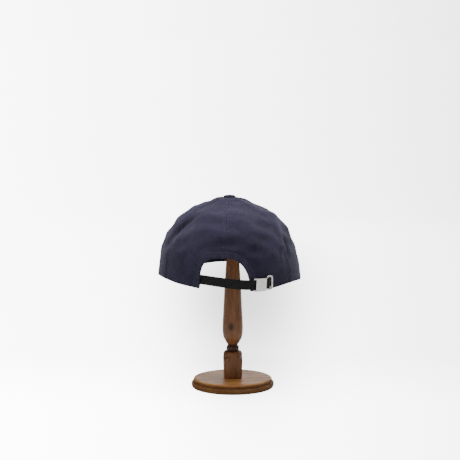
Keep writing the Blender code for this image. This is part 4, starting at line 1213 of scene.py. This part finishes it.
def headProfile():
    # the lowest of the crown's inner wall near each radius, then a waist and a flat seat
    angle, level = np.meshgrid(np.arange(0.0, 360.0, 7.5),
                               np.linspace(topLevel / 2, topLevel - crown["probe"], 60))
    points = onStand(crownPoint(angle.ravel(), level.ravel(), -crown["thickness"]))
    radii = np.hypot(points[:, 0], points[:, 1])
    seat = stand["headRadius"] * headShares
    near = 2 * gap + np.diff(seat).max()
    lowest = np.array([points[np.abs(radii - radius) < near, 2].min() for radius in seat])
    heights = np.minimum.accumulate(lowest) - gap
    bottom = heights[0] - stand["headHeight"]
    waist = bottom + stand["waistShare"] * (heights[-1] - bottom)
    return seat, heights, waist, bottom


def makeStand(baseWood, postWood):
    # the base: two smooth tiers under a flat top
    height, radius = turnedProfile(baseTurns, 96)
    height, radius = stand["baseThickness"] * height[:, 0], stand["baseRadius"] * radius[:, 0]
    flat = [0.01, 0.02, 0.03, 0.04, 0.0455, radius[0] - 0.0004]
    under = [radius[-1] - 0.0006, 0.04, 0.02]
    radius = np.array([*flat, *radius, *under])[:, None]
    height = np.pad(height, (len(flat), len(under)), "edge")[:, None]
    turnedPiece("stand_base_wood", radius, height, baseWood, "stand_base")

    # the head, its dome close under the crown
    seat, heights, waist, bottom = headProfile()
    wide, narrow = stand["waistRadius"], stand["seatRadius"]
    out = np.array([*seat, wide, 0.8 * wide + 0.2 * narrow, narrow])
    high = np.array([*heights, waist, waist + 0.72 * (bottom - waist), bottom])
    height, radius = turnedProfile(np.stack([high, out], -1), 80)
    turnedPiece("stand_head_wood", radius, height, postWood, "stand_head")

    # the post: a softened square, cut by a quarter-round shoulder, then the turned shaft above it
    foot = stand["baseThickness"]
    shoulder = foot + gap + stand["blockHeight"]
    drop, soft = stand["shoulderDrop"], stand["softness"]
    neck = stand["postRadius"] * postTurns[-1, 1]
    bend = np.linspace(math.pi / 2, 0.02, 60)
    low = np.concatenate([
        [foot, foot + 0.0002], np.linspace(foot + 0.0006, shoulder - 2 * drop, 30, endpoint=False),
        np.linspace(shoulder - 2 * drop, shoulder - drop, 60, endpoint=False),
        shoulder - drop * (1.0 - np.cos(bend))])[:, None]
    widening = (stand["blockWidth"] - stand["footWidth"]) * (low - foot) / (shoulder - foot)
    half = (stand["footWidth"] + widening) / 2 - 0.0002 * bell(low - foot, 0.0002)
    turn = fullTurn(stand["around"]) - math.radians(stand["postTurn"])
    square = half / (np.abs(np.cos(turn)) ** 40 + np.abs(np.sin(turn)) ** 40) ** (1 / 40)
    over = stand["blockWidth"] / 2 + gap
    arc = np.sqrt(np.clip(1.0 - (1.0 - np.clip((shoulder - low) / drop, 0.0, 1.0)) ** 2, 0.0, 1.0))
    corner = math.sqrt(2.0) * stand["blockWidth"] / 2 + 0.0006
    limit = np.where(low > shoulder - drop, neck + (over - neck) * arc,
                     over + (corner - over) * np.clip((shoulder - drop - low) / drop, 0.0, 1.0))
    block = smoothMin(square, limit, soft)
    top = bottom - gap
    height, radius = turnedProfile(postTurns, 240)
    height = np.concatenate([shoulder + (top - shoulder) * height, low[::-1]])
    radius = np.concatenate([stand["postRadius"] * radius + 0.0 * turn, block[::-1]])
    turnedPiece("stand_post_wood", radius, height, postWood, "stand_post")


# ---- everything together

def makeFloor():
    half = floor["half"]
    corners = [(-half, -half, 0.0), (half, -half, 0.0), (half, half, 0.0), (-half, half, 0.0)]
    mesh = bpy.data.meshes.new("paleFloor")
    mesh.from_pydata(corners, [], [(0, 1, 2, 3)])
    pale, tree, shader = newMaterial("paleFloor", {
        "Base Color": floor["colour"], "Roughness": floor["roughness"], "Emission Color": (1.0, 1.0, 1.0, 1.0)})
    # the floor's emission, seen by camera rays only, is painted light with a painted shadow behind the post
    seenOrLit(tree, "Object", backdrop["fan"], 0.0, shader.inputs["Emission Strength"])
    mesh.materials.append(pale)
    made = bpy.data.objects.new("paleFloor", mesh)
    bpy.context.scene.collection.objects.link(made)


addCamera()
addLamps()
makeFloor()
print("camera, light and floor are set")

cotton = twill("navyCotton", *cloth["cotton"])
lining = twill("darkLining", *cloth["lining"])
sewing = twill("navyThread", *cloth["thread"])
blackStrap = strapWeave("blackStrap")
metal = brushedMetal("silverMetal")
baseWood = grainedWood("baseWood", (0.14, 1.0, 1.0), ("tan", "honey", "pale"), 0.0, wood["rim"])
postWood = grainedWood("postWood", (1.0, 1.0, 0.12), ("dark", "mid", "light"), 0.22, wood["neck"],
                       wood["knotPlace"])
print("materials are made")

makePanels(cotton)
print("the crown's six panels are made")
crownStitches(sewing)
makeButton(cotton)
makeVisor(cotton, sewing)
makeSweatband(lining, sewing)
makeTapes(lining)
print("stitches, button, visor and sweatband are made")
makeBinding(cotton, sewing)
makeStrap(blackStrap)
makeClasp(metal)
makeEyelet(metal)
print("binding, strap and clasp are made")
makeStand(baseWood, postWood)
print("the wooden stand is made")
